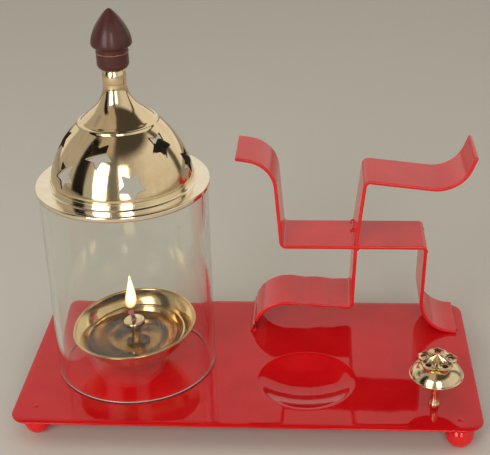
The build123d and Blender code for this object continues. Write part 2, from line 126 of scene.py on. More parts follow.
def curve(points, steps):
    """A smooth outline through all the points."""
    ends = [Vector((*p, 0)) for p in (points[0], *points, points[-1])]
    return [points[0]] + [(q.x, q.y) for q in smooth_line(ends, steps)[1:]]


def circle(r, steps):
    return [(r * cos(2 * pi * k / steps), r * sin(2 * pi * k / steps)) for k in range(steps)]


def round_corner(corner, u, v, cut, steps):
    """Points round a corner between the directions u and v, from one cut's length away to the other."""
    start, end = corner + u.normalized() * cut, corner + v.normalized() * cut
    shares = [k / steps for k in range(steps + 1)]
    return [(1 - t) ** 2 * start + 2 * t * (1 - t) * corner + t * t * end for t in shares]


def soften(points, size, steps=3):
    """Rounds every sharp corner of a closed outline, as polishing or enamel does."""
    out = []
    for i, p in enumerate(points):
        a, b, c = Vector(points[i - 1]), Vector(p), Vector(points[(i + 1) % len(points)])
        u, v = a - b, c - b
        if min(u.length, v.length, p[0]) < 1e-6 or pi - u.angle(v) < radians(22):
            out.append(p)
            continue
        cut = min(size * tan((pi - u.angle(v)) / 2), 0.45 * u.length, 0.45 * v.length)
        out += [(q.x, q.y) for q in round_corner(b, u, v, cut, steps)]
    return out


def rounded_rectangle(half_x, half_y, r, per_corner=20):
    out = []
    for sx, sy, a0 in ((1, 1, 0), (-1, 1, 90), (-1, -1, 180), (1, -1, 270)):
        for k in range(per_corner + 1):
            a = radians(a0 + 90 * k / per_corner)
            out.append((sx * (half_x - r) + r * cos(a), sy * (half_y - r) + r * sin(a)))
    return out


def held(points):
    """Adds points close to the ends of long straight runs, so that their shading stays flat."""
    out = []
    for i, p in enumerate(points):
        out.append(p)
        a, b = Vector(p), Vector(points[(i + 1) % len(points)])
        if (b - a).length > 1.0:
            near = (b - a).normalized() * 0.16
            out.append(tuple(a + near))
            out.append(tuple(b - near))
    return out


def filleted(points, radii, turn_step=5.0):
    """A bent strip's centre line: (x, z, direction) along it, with each corner rounded."""
    pts = [Vector(p) for p in points]
    out = []
    for i, p in enumerate(pts):
        if i in (0, len(pts) - 1):
            d = (pts[1] - p) if i == 0 else (p - pts[-2])
            out.append((p.x, p.y, atan2(d.y, d.x)))
            continue
        u, v = (p - pts[i - 1]).normalized(), (pts[i + 1] - p).normalized()
        turn = u.angle_signed(v) * -1
        r = radii[i - 1]
        reach = r * tan(abs(turn) / 2)
        start = p - u * reach
        side = Vector((-u.y, u.x)) * (1 if turn > 0 else -1)
        centre = start + side * r
        steps = max(2, int(abs(degrees(turn)) / turn_step) + 1)
        a0 = atan2(u.y, u.x)
        for k in range(steps + 1):
            a = turn * k / steps
            q = centre + Matrix.Rotation(a, 2) @ (start - centre)
            out.append((q.x, q.y, a0 + a))
    return out


# ------------------------------------------------------------------ meshes

def add_object(name, data):
    obj = bpy.data.objects.new(name, data)
    bpy.context.scene.collection.objects.link(obj)
    return obj


def finish_mesh(name, bm, matrix=None, sharp=32, outward=True):
    """Turns a bmesh in millimetres into an object in metres, smooth apart from its sharp edges."""
    bmesh.ops.remove_doubles(bm, verts=bm.verts, dist=1e-5)
    if outward:
        bmesh.ops.recalc_face_normals(bm, faces=bm.faces)
    for f in bm.faces:
        f.smooth = True
    for e in bm.edges:
        if len(e.link_faces) == 2 and e.calc_face_angle(0) > radians(sharp):
            e.smooth = False
    bmesh.ops.scale(bm, vec=(MM, MM, MM), verts=bm.verts)
    mesh = bpy.data.meshes.new(name)
    bm.to_mesh(mesh)
    bm.free()
    obj = add_object(name, mesh)
    if matrix is not None:
        obj.matrix_world = matrix
    return obj


def lathe_into(bm, outline, steps, wobble=None):
    """Adds the surface that a closed outline of (radius, height) sweeps round the Z axis."""
    rings = []
    for r, z in held(outline):
        if r < 1e-6:
            rings.append([bm.verts.new((0, 0, z))])
            continue
        ring = []
        for k in range(steps):
            a = 2 * pi * k / steps
            rr, zz = wobble(r, z, a) if wobble else (r, z)
            ring.append(bm.verts.new((rr * cos(a), rr * sin(a), zz)))
        rings.append(ring)
    faces = []
    for a, b in zip(rings, rings[1:] + rings[:1]):
        if len(a) == 1 and len(b) == 1:
            continue
        for k in range(steps):
            m = (k + 1) % steps
            if len(a) == 1:
                faces.append(bm.faces.new((a[0], b[k], b[m])))
            elif len(b) == 1:
                faces.append(bm.faces.new((a[k], b[0], a[m])))
            else:
                faces.append(bm.faces.new((a[k], b[k], b[m], a[m])))
    return faces


def at(x, y, z, up=None):
    """Where a piece stands: its own axis upright, or along up."""
    m = Matrix.Translation(Vector((x, y, z)) * MM)
    if up is not None:
        side = Vector((0, 1, 0)).cross(up).normalized()
        m = m @ Matrix((side, up.cross(side), up)).transposed().to_4x4()
    return m


def lathe(name, outline, matrix, steps=160, soft=0.15, wobble=None, sharp=32):
    """A turned piece, its corners softened, on the axis that matrix places."""
    bm = bmesh.new()
    lathe_into(bm, soften(outline, soft) if soft else outline, steps, wobble)
    return finish_mesh(name, bm, matrix, sharp)


def skin(bm, rings, ends="capped"):
    """Joins rings of points into a tube, whose ends are capped, joined together or left open."""
    following = rings[1:] + rings[:1] if ends == "joined" else rings[1:]
    for a, b in zip(rings, following):
        for k in range(len(a)):
            m = (k + 1) % len(a)
            bm.faces.new((a[k], a[m], b[m], b[k]))
    if ends == "capped":
        bm.faces.new(rings[0])
        bm.faces.new(list(reversed(rings[-1])))


def sweep_strip_into(bm, line, half_n, y0, y1, edge_r, round_start, round_end, ripple):
    """Adds a strip that follows a line in the XZ plane, from y0 to y1."""
    mid, half_y = (y0 + y1) / 2, (y1 - y0) / 2
    section = held(rounded_rectangle(half_n, half_y, edge_r, 4))
    stations = [(x, z, a, 0.0) for x, z, a in line]
    rounding = [(0.0, 0.62), (0.08, 0.32), (0.26, 0.1), (0.6, 0.0)]
    if round_start:
        x, z, a = line[0]
        stations[0:1] = [(x + cos(a) * s, z + sin(a) * s, a, inset) for s, inset in rounding]
    if round_end:
        x, z, a = line[-1]
        stations[-1:] = [(x - cos(a) * s, z - sin(a) * s, a, inset) for s, inset in reversed(rounding)]
    # Long straight runs get more stations, so that their slight unevenness shows
    dense = [stations[0]]
    for s in stations[1:]:
        p = dense[-1]
        n = max(1, int(hypot(s[0] - p[0], s[1] - p[1]) / 3.0))
        for k in range(1, n + 1):
            t = k / n
            dense.append(tuple(p[j] + (s[j] - p[j]) * t for j in range(4)))
    rings = []
    for x, z, a, inset in dense:
        nx, nz = -sin(a), cos(a)
        ring = []
        for n, y in section:
            n2 = n - inset * (n / half_n)
            y2 = y - inset * (y / half_y)
            w = ripple * noise.noise(Vector((x / 16, (mid + y) / 16, z / 16)))
            w += ripple * 0.5 * noise.noise(Vector((x / 5, (mid + y) / 5, z / 5 + 7)))
            ring.append(bm.verts.new((x + nx * (n2 + w), mid + y2 + w * 0.4, z + nz * (n2 + w))))
        rings.append(ring)
    skin(bm, rings)


def blob_into(bm, centre, size, seed):
    """Adds a lump of weld or enamel, a little uneven."""
    made = bmesh.ops.create_icosphere(bm, subdivisions=3, radius=1.0)
    for v in made["verts"]:
        d = v.co.normalized()
        r = 1 + 0.22 * noise.noise(d * 1.6 + Vector((seed, seed * 2, 0)))
        v.co = Vector(centre) + Vector((d.x * size[0], d.y * size[1], d.z * size[2])) * r


def cut_from(obj, cutter_bm):
    """Cuts the cutter's shape from the object and removes the cutter."""
    mesh = bpy.data.meshes.new("cutter")
    bmesh.ops.recalc_face_normals(cutter_bm, faces=cutter_bm.faces)
    bmesh.ops.scale(cutter_bm, vec=(MM, MM, MM), verts=cutter_bm.verts)
    cutter_bm.to_mesh(mesh)
    cutter_bm.free()
    cutter = add_object("cutter", mesh)
    cutter.matrix_world = obj.matrix_world
    mod = obj.modifiers.new("cut", "BOOLEAN")
    mod.operation = "DIFFERENCE"
    mod.solver = "EXACT"
    mod.object = cutter
    bpy.context.view_layer.update()
    depsgraph = bpy.context.evaluated_depsgraph_get()
    made = bpy.data.meshes.new_from_object(obj.evaluated_get(depsgraph))
    obj.modifiers.clear()
    old = obj.data
    obj.data = made
    bpy.data.objects.remove(cutter)
    bpy.data.meshes.remove(mesh)
    return old


def keep_smooth_normals(obj, whole):
    """Gives a cut surface the normals of the whole one, so that its reflections run on across the cuts."""
    points = [v.co.copy() for v in whole.vertices]
    polys = [list(p.vertices) for p in whole.polygons]
    normals = [v.normal.copy() for v in whole.vertices]
    tree = BVHTree.FromPolygons(points, polys)
    mesh = obj.data
    out = []
    for poly in mesh.polygons:
        for v in poly.vertices:
            co = mesh.vertices[v].co
            near, _, index, _ = tree.find_nearest(co)
            weights = poly_3d_calc([points[i] for i in polys[index]], near)
            n = Vector((0, 0, 0))
            for w, i in zip(weights, polys[index]):
                n += normals[i] * w
            n.normalize()
            out.append(n if n.dot(poly.normal) > 0.9 else poly.normal)
    mesh.normals_split_custom_set([tuple(n) for n in out])


# ------------------------------------------------------------------ materials

class Shader:
    """A node tree being built: each call adds a node and returns it."""

    def __init__(self, name):
        self.material = bpy.data.materials.new(name)
        self.material.use_nodes = True
        self.tree = self.material.node_tree
        self.tree.nodes.clear()
        self.out = self.add("ShaderNodeOutputMaterial")
        self.coords = self.add("ShaderNodeTexCoord").outputs["Object"]

    def add(self, kind, props=None, **inputs):
        node = self.tree.nodes.new(kind)
        for key, value in (props or {}).items():
            setattr(node, key, value)
        for key, value in inputs.items():
            self.set(node, key.replace("_", " "), value)
        return node

    def set(self, node, key, value):
        socket = node.inputs[int(key)] if key.isdigit() else node.inputs[key]
        if isinstance(value, bpy.types.NodeSocket):
            self.tree.links.new(value, socket)
        else:
            socket.default_value = value

    def noise(self, scale, detail=2.0, rough=0.5, coords=None):
        return self.add(
            "ShaderNodeTexNoise",
            Vector=coords or self.coords,
            Scale=scale,
            Detail=detail,
            Roughness=rough,
        ).outputs["Fac"]

    def math(self, operation, a, b=0.0, c=0.0):
        node = self.add("ShaderNodeMath", {"operation": operation})
        for i, value in enumerate((a, b, c)):
            self.set(node, str(i), value)
        return node.outputs[0]

    def span(self, value, low, high, to_low, to_high):
        """Maps value from low..high to to_low..to_high, clamped."""
        node = self.add("ShaderNodeMapRange", {"clamp": True})
        keys = ("Value", "From Min", "From Max", "To Min", "To Max")
        for key, v in zip(keys, (value, low, high, to_low, to_high)):
            self.set(node, key, v)
        return node.outputs["Result"]

    def mix(self, fac, a, b):
        node = self.add("ShaderNodeMix", {"data_type": "RGBA"})
        for socket, value in ((node.inputs[0], fac), (node.inputs[6], a), (node.inputs[7], b)):
            if isinstance(value, bpy.types.NodeSocket):
                self.tree.links.new(value, socket)
            else:
                socket.default_value = value
        return node.outputs[2]

    def bump(self, height, strength, distance):
        node = self.add("ShaderNodeBump", Height=height, Strength=strength, Distance=distance)
        return node.outputs["Normal"]

    def axis_parts(self):
        """Radius from the piece's own Z axis, height along it, and the angle round it."""
        xyz = self.add("ShaderNodeSeparateXYZ", Vector=self.coords)
        x, y, z = xyz.outputs
        r = self.math("SQRT", self.total(self.product(x, x), self.product(y, y)))
        return r, z, self.math("ARCTAN2", y, x)

    def product(self, *factors):
        out = factors[0]
        for factor in factors[1:]:
            out = self.math("MULTIPLY", out, factor)
        return out

    def total(self, *parts):
        out = parts[0]
        for part in parts[1:]:
            out = self.math("ADD", out, part)
        return out

    def blend(self, fac, shader, other):
        """A shader that turns into another one where the factor is 1."""
        mixed = self.add("ShaderNodeMixShader")
        self.set(mixed, "0", fac)
        self.tree.links.new(shader.outputs[0], mixed.inputs[1])
        self.tree.links.new(other.outputs[0], mixed.inputs[2])
        return mixed

    def surface(self, shader):
        self.tree.links.new(shader.outputs[0], self.out.inputs["Surface"])
        return self.material

    def principled(self, **inputs):
        return self.add("ShaderNodeBsdfPrincipled", **inputs)

    def solid(self, **inputs):
        """The finished material, made of one Principled shader."""
        return self.surface(self.principled(**inputs))


def rgba(r, g, b):
    return (r, g, b, 1.0)


def make_enamel(name, deep, bright, waves, peel, rough, gloss):
    """Brushed or dipped enamel: broad waves, orange peel and a few nibs of dust."""
    s = Shader(name)
    nibs = s.span(s.noise(260, 1.0, 0.3), 0.755, 0.80, 0.0, 1.0)
    height = s.math("MULTIPLY_ADD", s.noise(28, 1.5, 0.4), waves, s.product(s.noise(420, 2.0, 0.5), peel))
    height = s.total(height, s.product(s.noise(1500, 1.0, 0.5), peel * 0.25), s.product(nibs, 0.5))
    shade = s.span(s.noise(55, 3.0, 0.5), 0.3, 0.7, 0.0, 1.0)
    return s.solid(
        Base_Color=s.mix(shade, rgba(*deep), rgba(*bright)),
        Roughness=s.span(s.noise(140, 3.0, 0.6), 0.35, 0.75, rough, rough + 0.05),
        Normal=s.bump(height, 0.35, 0.0002),
        IOR=1.5,
        Specular_IOR_Level=gloss,
    )


def make_brass(name, light, dark, rough, rings, ring_depth, mottle=0.5, scratches=0.4):
    """Turned and polished brass. Rings are the fine lines of turning round the piece's axis."""
    s = Shader(name)
    r, z, turn = s.axis_parts()
    ring_place = s.add("ShaderNodeCombineXYZ", X=r, Y=z, Z=s.product(turn, 0.00012))
    lines = s.noise(rings, 4.0, 0.75, ring_place.outputs[0])
    squeezed = {"X": s.product(r, 0.2), "Y": s.product(z, 0.25), "Z": s.product(turn, 0.02)}
    stretched = s.add("ShaderNodeCombineXYZ", **squeezed)
    streaks = s.noise(320, 3.0, 0.6, stretched.outputs[0])
    scratch = s.span(s.noise(2600, 1.0, 0.5, stretched.outputs[0]), 0.62, 0.72, 0.0, scratches)
    blotch = s.noise(48, 4.0, 0.6)
    height = s.total(s.product(lines, ring_depth), s.product(s.noise(110, 2.0, 0.4), 0.5))
    height = s.math("SUBTRACT", height, s.product(scratch, 0.3))
    tarnish = s.span(s.total(s.product(blotch, 0.7), s.product(streaks, 0.3)), 0.42, 0.68, 0.0, mottle)
    dulled = s.span(s.total(blotch, s.product(lines, 0.3)), 0.45, 0.95, rough, rough + 0.12)
    return s.solid(
        Base_Color=s.mix(tarnish, rgba(*light), rgba(*dark)),
        Metallic=1.0,
        Roughness=s.total(dulled, s.product(scratch, 0.15)),
        Normal=s.bump(height, 0.3, 0.00006),
    )


red_enamel = make_enamel("red_enamel", (0.60, 0.004, 0.007), (0.67, 0.007, 0.010), 2.6, 0.16, 0.015, 0.36)
strip_enamel = make_enamel("strip_enamel", (0.64, 0.008, 0.010), (0.74, 0.012, 0.014), 1.2, 0.25, 0.16, 0.55)
foot_enamel = make_enamel("foot_enamel", (0.68, 0.006, 0.008), (0.78, 0.010, 0.012), 0.8, 0.15, 0.06, 0.5)
BRASS_LIGHT, BRASS_DARK = (0.86, 0.69, 0.44), (0.60, 0.42, 0.22)
dome_brass = make_brass("dome_brass", BRASS_LIGHT, BRASS_DARK, 0.05, 900, 0.5)
# The flange's brass is paler than the rest: painted light, for the bright reflection on its top.
flange_brass_painted_light = make_brass("flange_brass_painted_light", (0.93, 0.84, 0.66), (0.76, 0.58, 0.38), 0.07, 1100, 0.6)
bowl_brass = make_brass("bowl_brass", (0.76, 0.56, 0.29), (0.52, 0.33, 0.14), 0.09, 1500, 0.9)
turned_brass = make_brass("turned_brass", BRASS_LIGHT, BRASS_DARK, 0.11, 1300, 0.9)
cast_brass = make_brass("cast_brass", (0.80, 0.64, 0.40), (0.36, 0.24, 0.12), 0.20, 500, 0.7, mottle=0.95)
copper_edge = make_brass("copper_edge", (0.80, 0.42, 0.28), (0.55, 0.26, 0.15), 0.16, 1400, 1.0)


# Dark sooty brass: real soot inside the lid's dome, and painted shade in the incense holder's holes and
# hollows.
def make_soot():
    s = Shader("soot_and_shade_brass")
    cover = s.span(s.noise(70, 4.0, 0.6), 0.25, 0.75, 0.0, 1.0)
    return s.solid(
        Base_Color=s.mix(cover, rgba(0.10, 0.065, 0.035), rgba(0.018, 0.014, 0.012)),
        Roughness=s.span(cover, 0, 1, 0.55, 0.9),
        Metallic=s.span(cover, 0, 1, 0.5, 0.1),
        Normal=s.bump(s.noise(900, 3.0, 0.6), 0.3, 0.0001),
    )


def make_plastic():
    s = Shader("brown_plastic")
    height = s.total(s.noise(160, 2.0, 0.5), s.product(s.noise(1800, 2.0, 0.5), 0.1))
    return s.solid(
        Base_Color=s.mix(s.noise(90, 3.0, 0.6), rgba(0.050, 0.014, 0.013), rgba(0.092, 0.026, 0.022)),
        Roughness=s.span(s.noise(300, 3.0, 0.6), 0.3, 0.8, 0.27, 0.42),
        Normal=s.bump(height, 0.3, 0.0002),
        Specular_IOR_Level=0.3,
        Coat_Weight=0.15,
        Coat_Roughness=0.12,
    )


def make_flash():
    s = Shader("mould_flash")
    return s.solid(
        Base_Color=s.mix(s.noise(800, 3.0, 0.6), rgba(0.24, 0.07, 0.04), rgba(0.46, 0.15, 0.09)),
        Roughness=s.span(s.noise(600, 3.0, 0.6), 0.3, 0.8, 0.35, 0.6),
        Normal=s.bump(s.noise(1600, 3.0, 0.7), 0.6, 0.0002),
    )


def let_light_through(s, shader, tint):
    """Lets the lamps' light pass a clear shader, so that what stands behind it isn't in black shade."""
    clear = s.add("ShaderNodeBsdfTransparent", Color=rgba(*tint))
    return s.surface(s.blend(s.add("ShaderNodeLightPath").outputs["Is Shadow Ray"], shader, clear))


def make_glass():
    s = Shader("clear_glass")
    shader = s.principled(
        Base_Color=rgba(0.965, 0.975, 0.95),
        Roughness=s.span(s.noise(60, 3.0, 0.6), 0.55, 0.85, 0.0, 0.02),
        IOR=1.40,
        Transmission_Weight=1.0,
    )
    return let_light_through(s, shader, (0.90, 0.92, 0.88))


def make_ground_glass():
    s = Shader("ground_glass")
    chips = s.noise(700, 3.0, 0.6)
    return s.solid(
        Base_Color=rgba(0.62, 0.66, 0.60),
        Roughness=s.span(chips, 0.3, 0.7, 0.35, 0.6),
        Normal=s.bump(chips, 0.6, 0.0003),
        IOR=1.45,
        Transmission_Weight=0.55,
    )


def make_oil():
    s = Shader("lamp_oil")
    shader = s.principled(
        Base_Color=rgba(0.52, 0.35, 0.12),
        Roughness=s.span(s.noise(120, 2.0, 0.5), 0.4, 0.9, 0.0, 0.04),
        Normal=s.bump(s.noise(45, 2.0, 0.5), 0.15, 0.0004),
        IOR=1.47,
        Transmission_Weight=1.0,
    )
    return let_light_through(s, shader, (0.72, 0.58, 0.30))


def make_steel():
    s = Shader("plated_steel")
    cloud = s.noise(300, 4.0, 0.6)
    return s.solid(
        Base_Color=s.mix(cloud, rgba(0.52, 0.52, 0.50), rgba(0.70, 0.69, 0.66)),
        Metallic=1.0,
        Roughness=s.span(cloud, 0.3, 0.7, 0.24, 0.42),
        Normal=s.bump(s.noise(1800, 3.0, 0.6), 0.25, 0.00008),
    )


def make_cotton(char_z):
    """Red cotton, charred in a band at a height and glowing red past it."""
    s = Shader("red_cotton")
    z = s.add("ShaderNodeSeparateXYZ", Vector=s.coords).outputs["Z"]
    fibres = s.noise(2400, 4.0, 0.7)
    height = s.total(z, s.product(s.noise(500, 2.0, 0.5), 0.0030))
    char = s.span(height, char_z - 0.0010, char_z + 0.0006, 0.0, 1.0)
    past = s.span(height, char_z + 0.0016, char_z + 0.0026, 0.0, 0.8)
    colour = s.mix(fibres, rgba(0.30, 0.02, 0.03), rgba(0.62, 0.10, 0.11))
    colour = s.mix(char, colour, rgba(0.020, 0.010, 0.009))
    return s.solid(
        Base_Color=s.mix(past, colour, rgba(0.50, 0.05, 0.09)),
        Roughness=s.span(fibres, 0.2, 0.8, 0.6, 0.9),
        Normal=s.bump(fibres, 0.8, 0.0003),
        Sheen_Weight=0.3,
    )


def make_flame():
    s = Shader("flame")
    z = s.add("ShaderNodeSeparateXYZ", Vector=s.coords).outputs["Z"]
    up = s.span(z, 0.0, 0.0205, 0.0, 1.0)
    facing = s.add("ShaderNodeLayerWeight", Blend=0.42).outputs["Facing"]
    body = s.span(facing, 0.10, 0.72, 1.0, 0.0)
    low = s.mix(s.span(up, 0.0, 0.25, 0.0, 1.0), rgba(1.0, 0.35, 0.10), rgba(1.0, 0.78, 0.42))
    glow = s.add(
        "ShaderNodeEmission",
        Color=s.mix(body, rgba(1.0, 0.36, 0.06), low),
        Strength=s.product(s.span(up, 0.0, 0.3, 1.5, 3.0), s.span(body, 0.0, 0.7, 0.25, 1.0)),
    )
    dense = s.product(s.span(body, 0.0, 0.5, 0.15, 1.0), s.span(up, 0.0, 0.12, 0.4, 1.0))
    return s.surface(s.blend(dense, s.add("ShaderNodeBsdfTransparent"), glow))


soot_and_shade_brass = make_soot()
brown_plastic = make_plastic()
mould_flash = make_flash()
clear_glass = make_glass()
ground_glass = make_ground_glass()
oil_look = make_oil()
plated_steel = make_steel()
flame_look = make_flame()


def piece(obj, body, slot, material, *nodes):
    """Gives an object its material or list of materials, its body and the nodes it replaces; the slot is not
    used.
    """
    obj.data.materials.clear()
    for m in material if isinstance(material, list) else [material]:
        obj.data.materials.append(m)
    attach(obj, body)
    if nodes:
        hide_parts(*nodes)


# ------------------------------------------------------------------ tray

CORNER_R = 10.0
SHEET = 1.2
EDGE_DROP = 0.42


def edge_z(inset):
    """How far the sheet's top has turned down, this far in from its edge."""
    t = max(0.0, 1 - inset / 4.2)
    return -EDGE_DROP * t * t


def build_tray():
    bm = bmesh.new()
    insets = [7.0, 6.0, 5.0, 4.2, 3.6, 3.0, 2.4, 1.8, 1.2, 0.75]
    top = [(i, edge_z(i)) for i in insets]
    low = edge_z(0.6)
    lip_r = SHEET / 2
    turns = [radians(18 * k) for k in range(11)]
    lip = [(lip_r - lip_r * sin(a), low - lip_r + lip_r * cos(a)) for a in turns]
    under = [(i, edge_z(i) - SHEET) for i in reversed(insets)]
    rings = []
    for inset, z in top + lip + under:
        r = max(CORNER_R - inset, 2.0)
        ring = rounded_rectangle(TRAY_X - inset, TRAY_Y - inset, r)
        rings.append([bm.verts.new((x, y, z)) for x, y in ring])
    skin(bm, rings, "open")
    # The dish's two skins
    ball_r = (DISH_R**2 + DISH_DEPTH**2) / (2 * DISH_DEPTH)
    steps = 128

    def dish_z(rho):
        """Height of the dish's inside at a radius, with its pressed lip."""
        if rho >= DISH_LIP_OUT:
            return 0.0
        full = ball_r - DISH_DEPTH - sqrt(ball_r**2 - min(rho, DISH_R) ** 2)
        if rho <= DISH_LIP_IN:
            return full
        slope = DISH_LIP_IN / sqrt(ball_r**2 - DISH_LIP_IN**2)
        h0 = ball_r - DISH_DEPTH - sqrt(ball_r**2 - DISH_LIP_IN**2)
        w = DISH_LIP_OUT - DISH_LIP_IN
        t = (rho - DISH_LIP_IN) / w
        h00 = 2 * t**3 - 3 * t**2 + 1
        h10 = t**3 - 2 * t**2 + t
        return h00 * h0 + h10 * w * slope

    radii = [DISH_R + 3.0, DISH_R + 2.2, DISH_LIP_OUT]
    radii += [DISH_LIP_OUT + (DISH_LIP_IN - DISH_LIP_OUT) * k / 14 for k in range(1, 15)]
    radii += [DISH_LIP_IN * (1 - k / 26) for k in range(1, 26)] + [0.0]
    edges_of_hole = []
    for shift in (0.0, -SHEET):
        prev = None
        for rho in radii:
            if rho == 0:
                ring = [bm.verts.new((DISH[0], DISH[1], dish_z(0) + shift))]
            else:
                z = dish_z(rho) + shift
                ring = [bm.verts.new((DISH[0] + x, DISH[1] + y, z)) for x, y in circle(rho, steps)]
            if prev is None:
                edges_of_hole.append(ring)
            elif len(ring) == 1:
                for k in range(steps):
                    bm.faces.new((prev[k], ring[0], prev[(k + 1) % steps]))
            else:
                for k in range(steps):
                    m = (k + 1) % steps
                    bm.faces.new((prev[k], ring[k], ring[m], prev[m]))
            prev = ring
    # The flat between the rim's rings and the dish, above and below
    for outer, hole in ((rings[0], edges_of_hole[0]), (rings[-1], edges_of_hole[1])):
        loop_edges = []
        for ring in (outer, hole):
            for k in range(len(ring)):
                a, b = ring[k], ring[(k + 1) % len(ring)]
                loop_edges.append(bm.edges.get((a, b)) or bm.edges.new((a, b)))
        bmesh.ops.triangle_fill(bm, use_beauty=True, use_dissolve=False, edges=loop_edges)
    return finish_mesh("tray_sheet", bm, at(0, 0, TOP))


piece(build_tray(), "root", "red_enamel", red_enamel, "tray")

# ------------------------------------------------------------------ feet and their rivets

FOOT_R = 7.6
ENDS = ("front_left", "front_right", "back_left", "back_right")
for end in ENDS:
    low, high = heights("foot_" + end)
    half = (high - low) / 2
    reach = atan2(half, sqrt(FOOT_R**2 - half**2))
    turns = [-reach + 2 * reach * k / 48 for k in range(49)]
    outline = [(0, -half), *[(FOOT_R * cos(t), FOOT_R * sin(t)) for t in turns], (0, half)]
    foot = lathe("ball_foot_" + end, outline, at(*middle("foot_" + end), half), steps=96, soft=0)
    piece(foot, "root", "foot_enamel", foot_enamel, "foot_" + end)

# Rivets: a shank down into the foot, and a low head that the enamel has run over
RIVET_R, RIVET_HEAD_R, RIVET_HEAD_H = 1.5, 1.8, 0.17
shares = [1 - k / 10 for k in range(10)]
head = [(RIVET_HEAD_R * t, 0.01 + RIVET_HEAD_H * (1 - t**2) ** 1.3) for t in shares]
rivet_line = [(0, -4.0), (RIVET_R, -4.0), (RIVET_R, 0.0), *head, (0, 0.01 + RIVET_HEAD_H)]
bm = bmesh.new()
for end in ENDS:
    before = set(bm.verts)
    lathe_into(bm, rivet_line, 48)
    foot_place = Vector((*middle("foot_" + end), 0))
    for v in set(bm.verts) - before:
        v.co += foot_place
piece(finish_mesh("foot_rivet_heads", bm, at(0, 0, TOP)), "root", "red_enamel", red_enamel, "foot_rivets")

# ------------------------------------------------------------------ emblem of bent strip

BAR_Z = 56.6
CROSS_X = 59.5
BAR_END = 99.0
LEG_TOP = BAR_Z - 3.2
# Each strip's centre line, its bends' radii, and whether its start and its end are rounded over
bar_points = [(-7.7, 111.2), (13.3, 107.9), (17.3, BAR_Z), (BAR_END, BAR_Z), (BAR_END, LEG_TOP)]
leg_points = [(BAR_END, LEG_TOP), (97.6, 1.0), (119.4, 1.0)]
upper_points = [(CROSS_X, BAR_Z + 0.7), (64.2, 97.6), (115.9, 91.4), (123.9, 112.3)]
lower_points = [(CROSS_X, BAR_Z - 0.7), (58.0, 16.7), (7.2, 20.2), (-0.95, 0.0)]
STRIP_HALF, STRIP_EDGE_R, STRIP_RIPPLE = 0.98, 0.55, 0.035
STRIPS = (
    ("crossbar", bar_points, [18.0, 3.0, 2.0], True, False),
    ("right_leg", leg_points, [20.0], False, True),
    ("upper_arm", upper_points, [2.8, 19.5], False, True),
    ("lower_arm", lower_points, [2.8, 20.0], False, True),
)
for name, points, radii, *rounded in STRIPS:
    bm = bmesh.new()
    line = filleted(points, radii)
    sweep_strip_into(bm, line, STRIP_HALF, EMBLEM_Y0, EMBLEM_Y1, STRIP_EDGE_R, *rounded, STRIP_RIPPLE)
    obj = finish_mesh("strip_" + name, bm, at(0, 0, TOP), sharp=50)
    piece(obj, "root", "red_enamel", strip_enamel, "emblem_" + name)

bm = bmesh.new()
weld_lumps = [
    ((CROSS_X, EMBLEM_Y0 + 0.7, BAR_Z), (1.9, 0.95, 1.75)),
    ((CROSS_X - 1.5, EMBLEM_Y0 + 20.5, BAR_Z + 1.3), (1.25, 1.6, 1.2)),
    ((CROSS_X - 1.2, EMBLEM_Y1 - 1.8, BAR_Z + 1.2), (1.3, 1.5, 1.2)),
    ((CROSS_X + 1.1, EMBLEM_Y0 + 1.9, BAR_Z - 1.3), (1.1, 1.7, 1.1)),
    ((CROSS_X + 1.1, EMBLEM_Y1 - 1.9, BAR_Z - 1.3), (1.1, 1.6, 1.1)),
    ((99.9, EMBLEM_Y0 + 3.0, LEG_TOP), (0.7, 2.0, 0.8)),
    ((99.9, EMBLEM_Y1 - 3.0, LEG_TOP), (0.7, 2.0, 0.8)),
    ((0.5, EMBLEM_Y0 + 1.2, 0.35), (1.4, 1.5, 0.8)),
    ((0.5, EMBLEM_Y1 - 3.4, 0.35), (1.3, 2.0, 0.8)),
    ((119.5, EMBLEM_Y0 + 6.0, 0.45), (0.9, 2.2, 0.8)),
    ((119.5, EMBLEM_Y1 - 6.0, 0.45), (0.9, 2.0, 0.8)),
]
for i, (centre, size) in enumerate(weld_lumps):
    blob_into(bm, centre, size, 3.1 + i)
# Enamel gathered along the four corners of the crossing
for dx, dz, r in ((-1.05, 1.05, 0.62), (1.15, 1.05, 0.62), (-1.15, -1.05, 0.62), (1.0, -1.05, 0.62)):
    n, around = 30, 10
    rings = []
    for k in range(n + 1):
        y = EMBLEM_Y0 + 0.6 + (EMBLEM_Y1 - EMBLEM_Y0 - 1.2) * k / n
        rr = r * (1 + 0.3 * noise.noise(Vector((dx * 9, y / 3, dz * 5))))
        if k in (0, n):
            rr *= 0.3
        places = [(CROSS_X + dx + across, y, BAR_Z + dz + up) for across, up in circle(rr, around)]
        rings.append([bm.verts.new(p) for p in places])
    skin(bm, rings)
beads = finish_mesh("emblem_weld_beads", bm, at(0, 0, TOP), sharp=60)
piece(beads, "root", "red_enamel", strip_enamel, "emblem_welds")

# ------------------------------------------------------------------ oil lamp

LEAN_X, LEAN_Y = 3.97, 2.62
bowl_up = Vector((-sin(radians(LEAN_X)), -sin(radians(LEAN_Y)), 1)).normalized()
SEAT = 4.5
BOWL_AT = at(*BOWL, TOP + SEAT, bowl_up)
OIL_Z = 16.4

outside = [(0, 0), (9.0, 0.0)] + arc((9.0, 0.0), (22.2, 4.9), (28.7, 13.7), 20)
outside += arc((28.7, 13.7), (31.0, 17.4), (34.45, 20.15), 12)
rim = arc((34.45, 20.15), (34.82, 20.6), (34.35, 20.98), 6)
rim += arc((34.35, 20.98), (33.6, 20.85), (33.3, 20.2), 5)
inside_low = arc((27.0, 13.75), (21.6, 5.6), (9.0, 0.9), 20)
flare_inside = arc((33.3, 20.2), (30.1, 17.5), (27.85, 14.0), 12)
inside = flare_inside + [(27.0, 13.75)] + inside_low + [(0, 0.9)]
bowl = lathe("oil_bowl_spun", outside + rim + inside, BOWL_AT, steps=192, soft=0.12)
piece(bowl, "root", "polished_brass", bowl_brass, "oil_bowl")

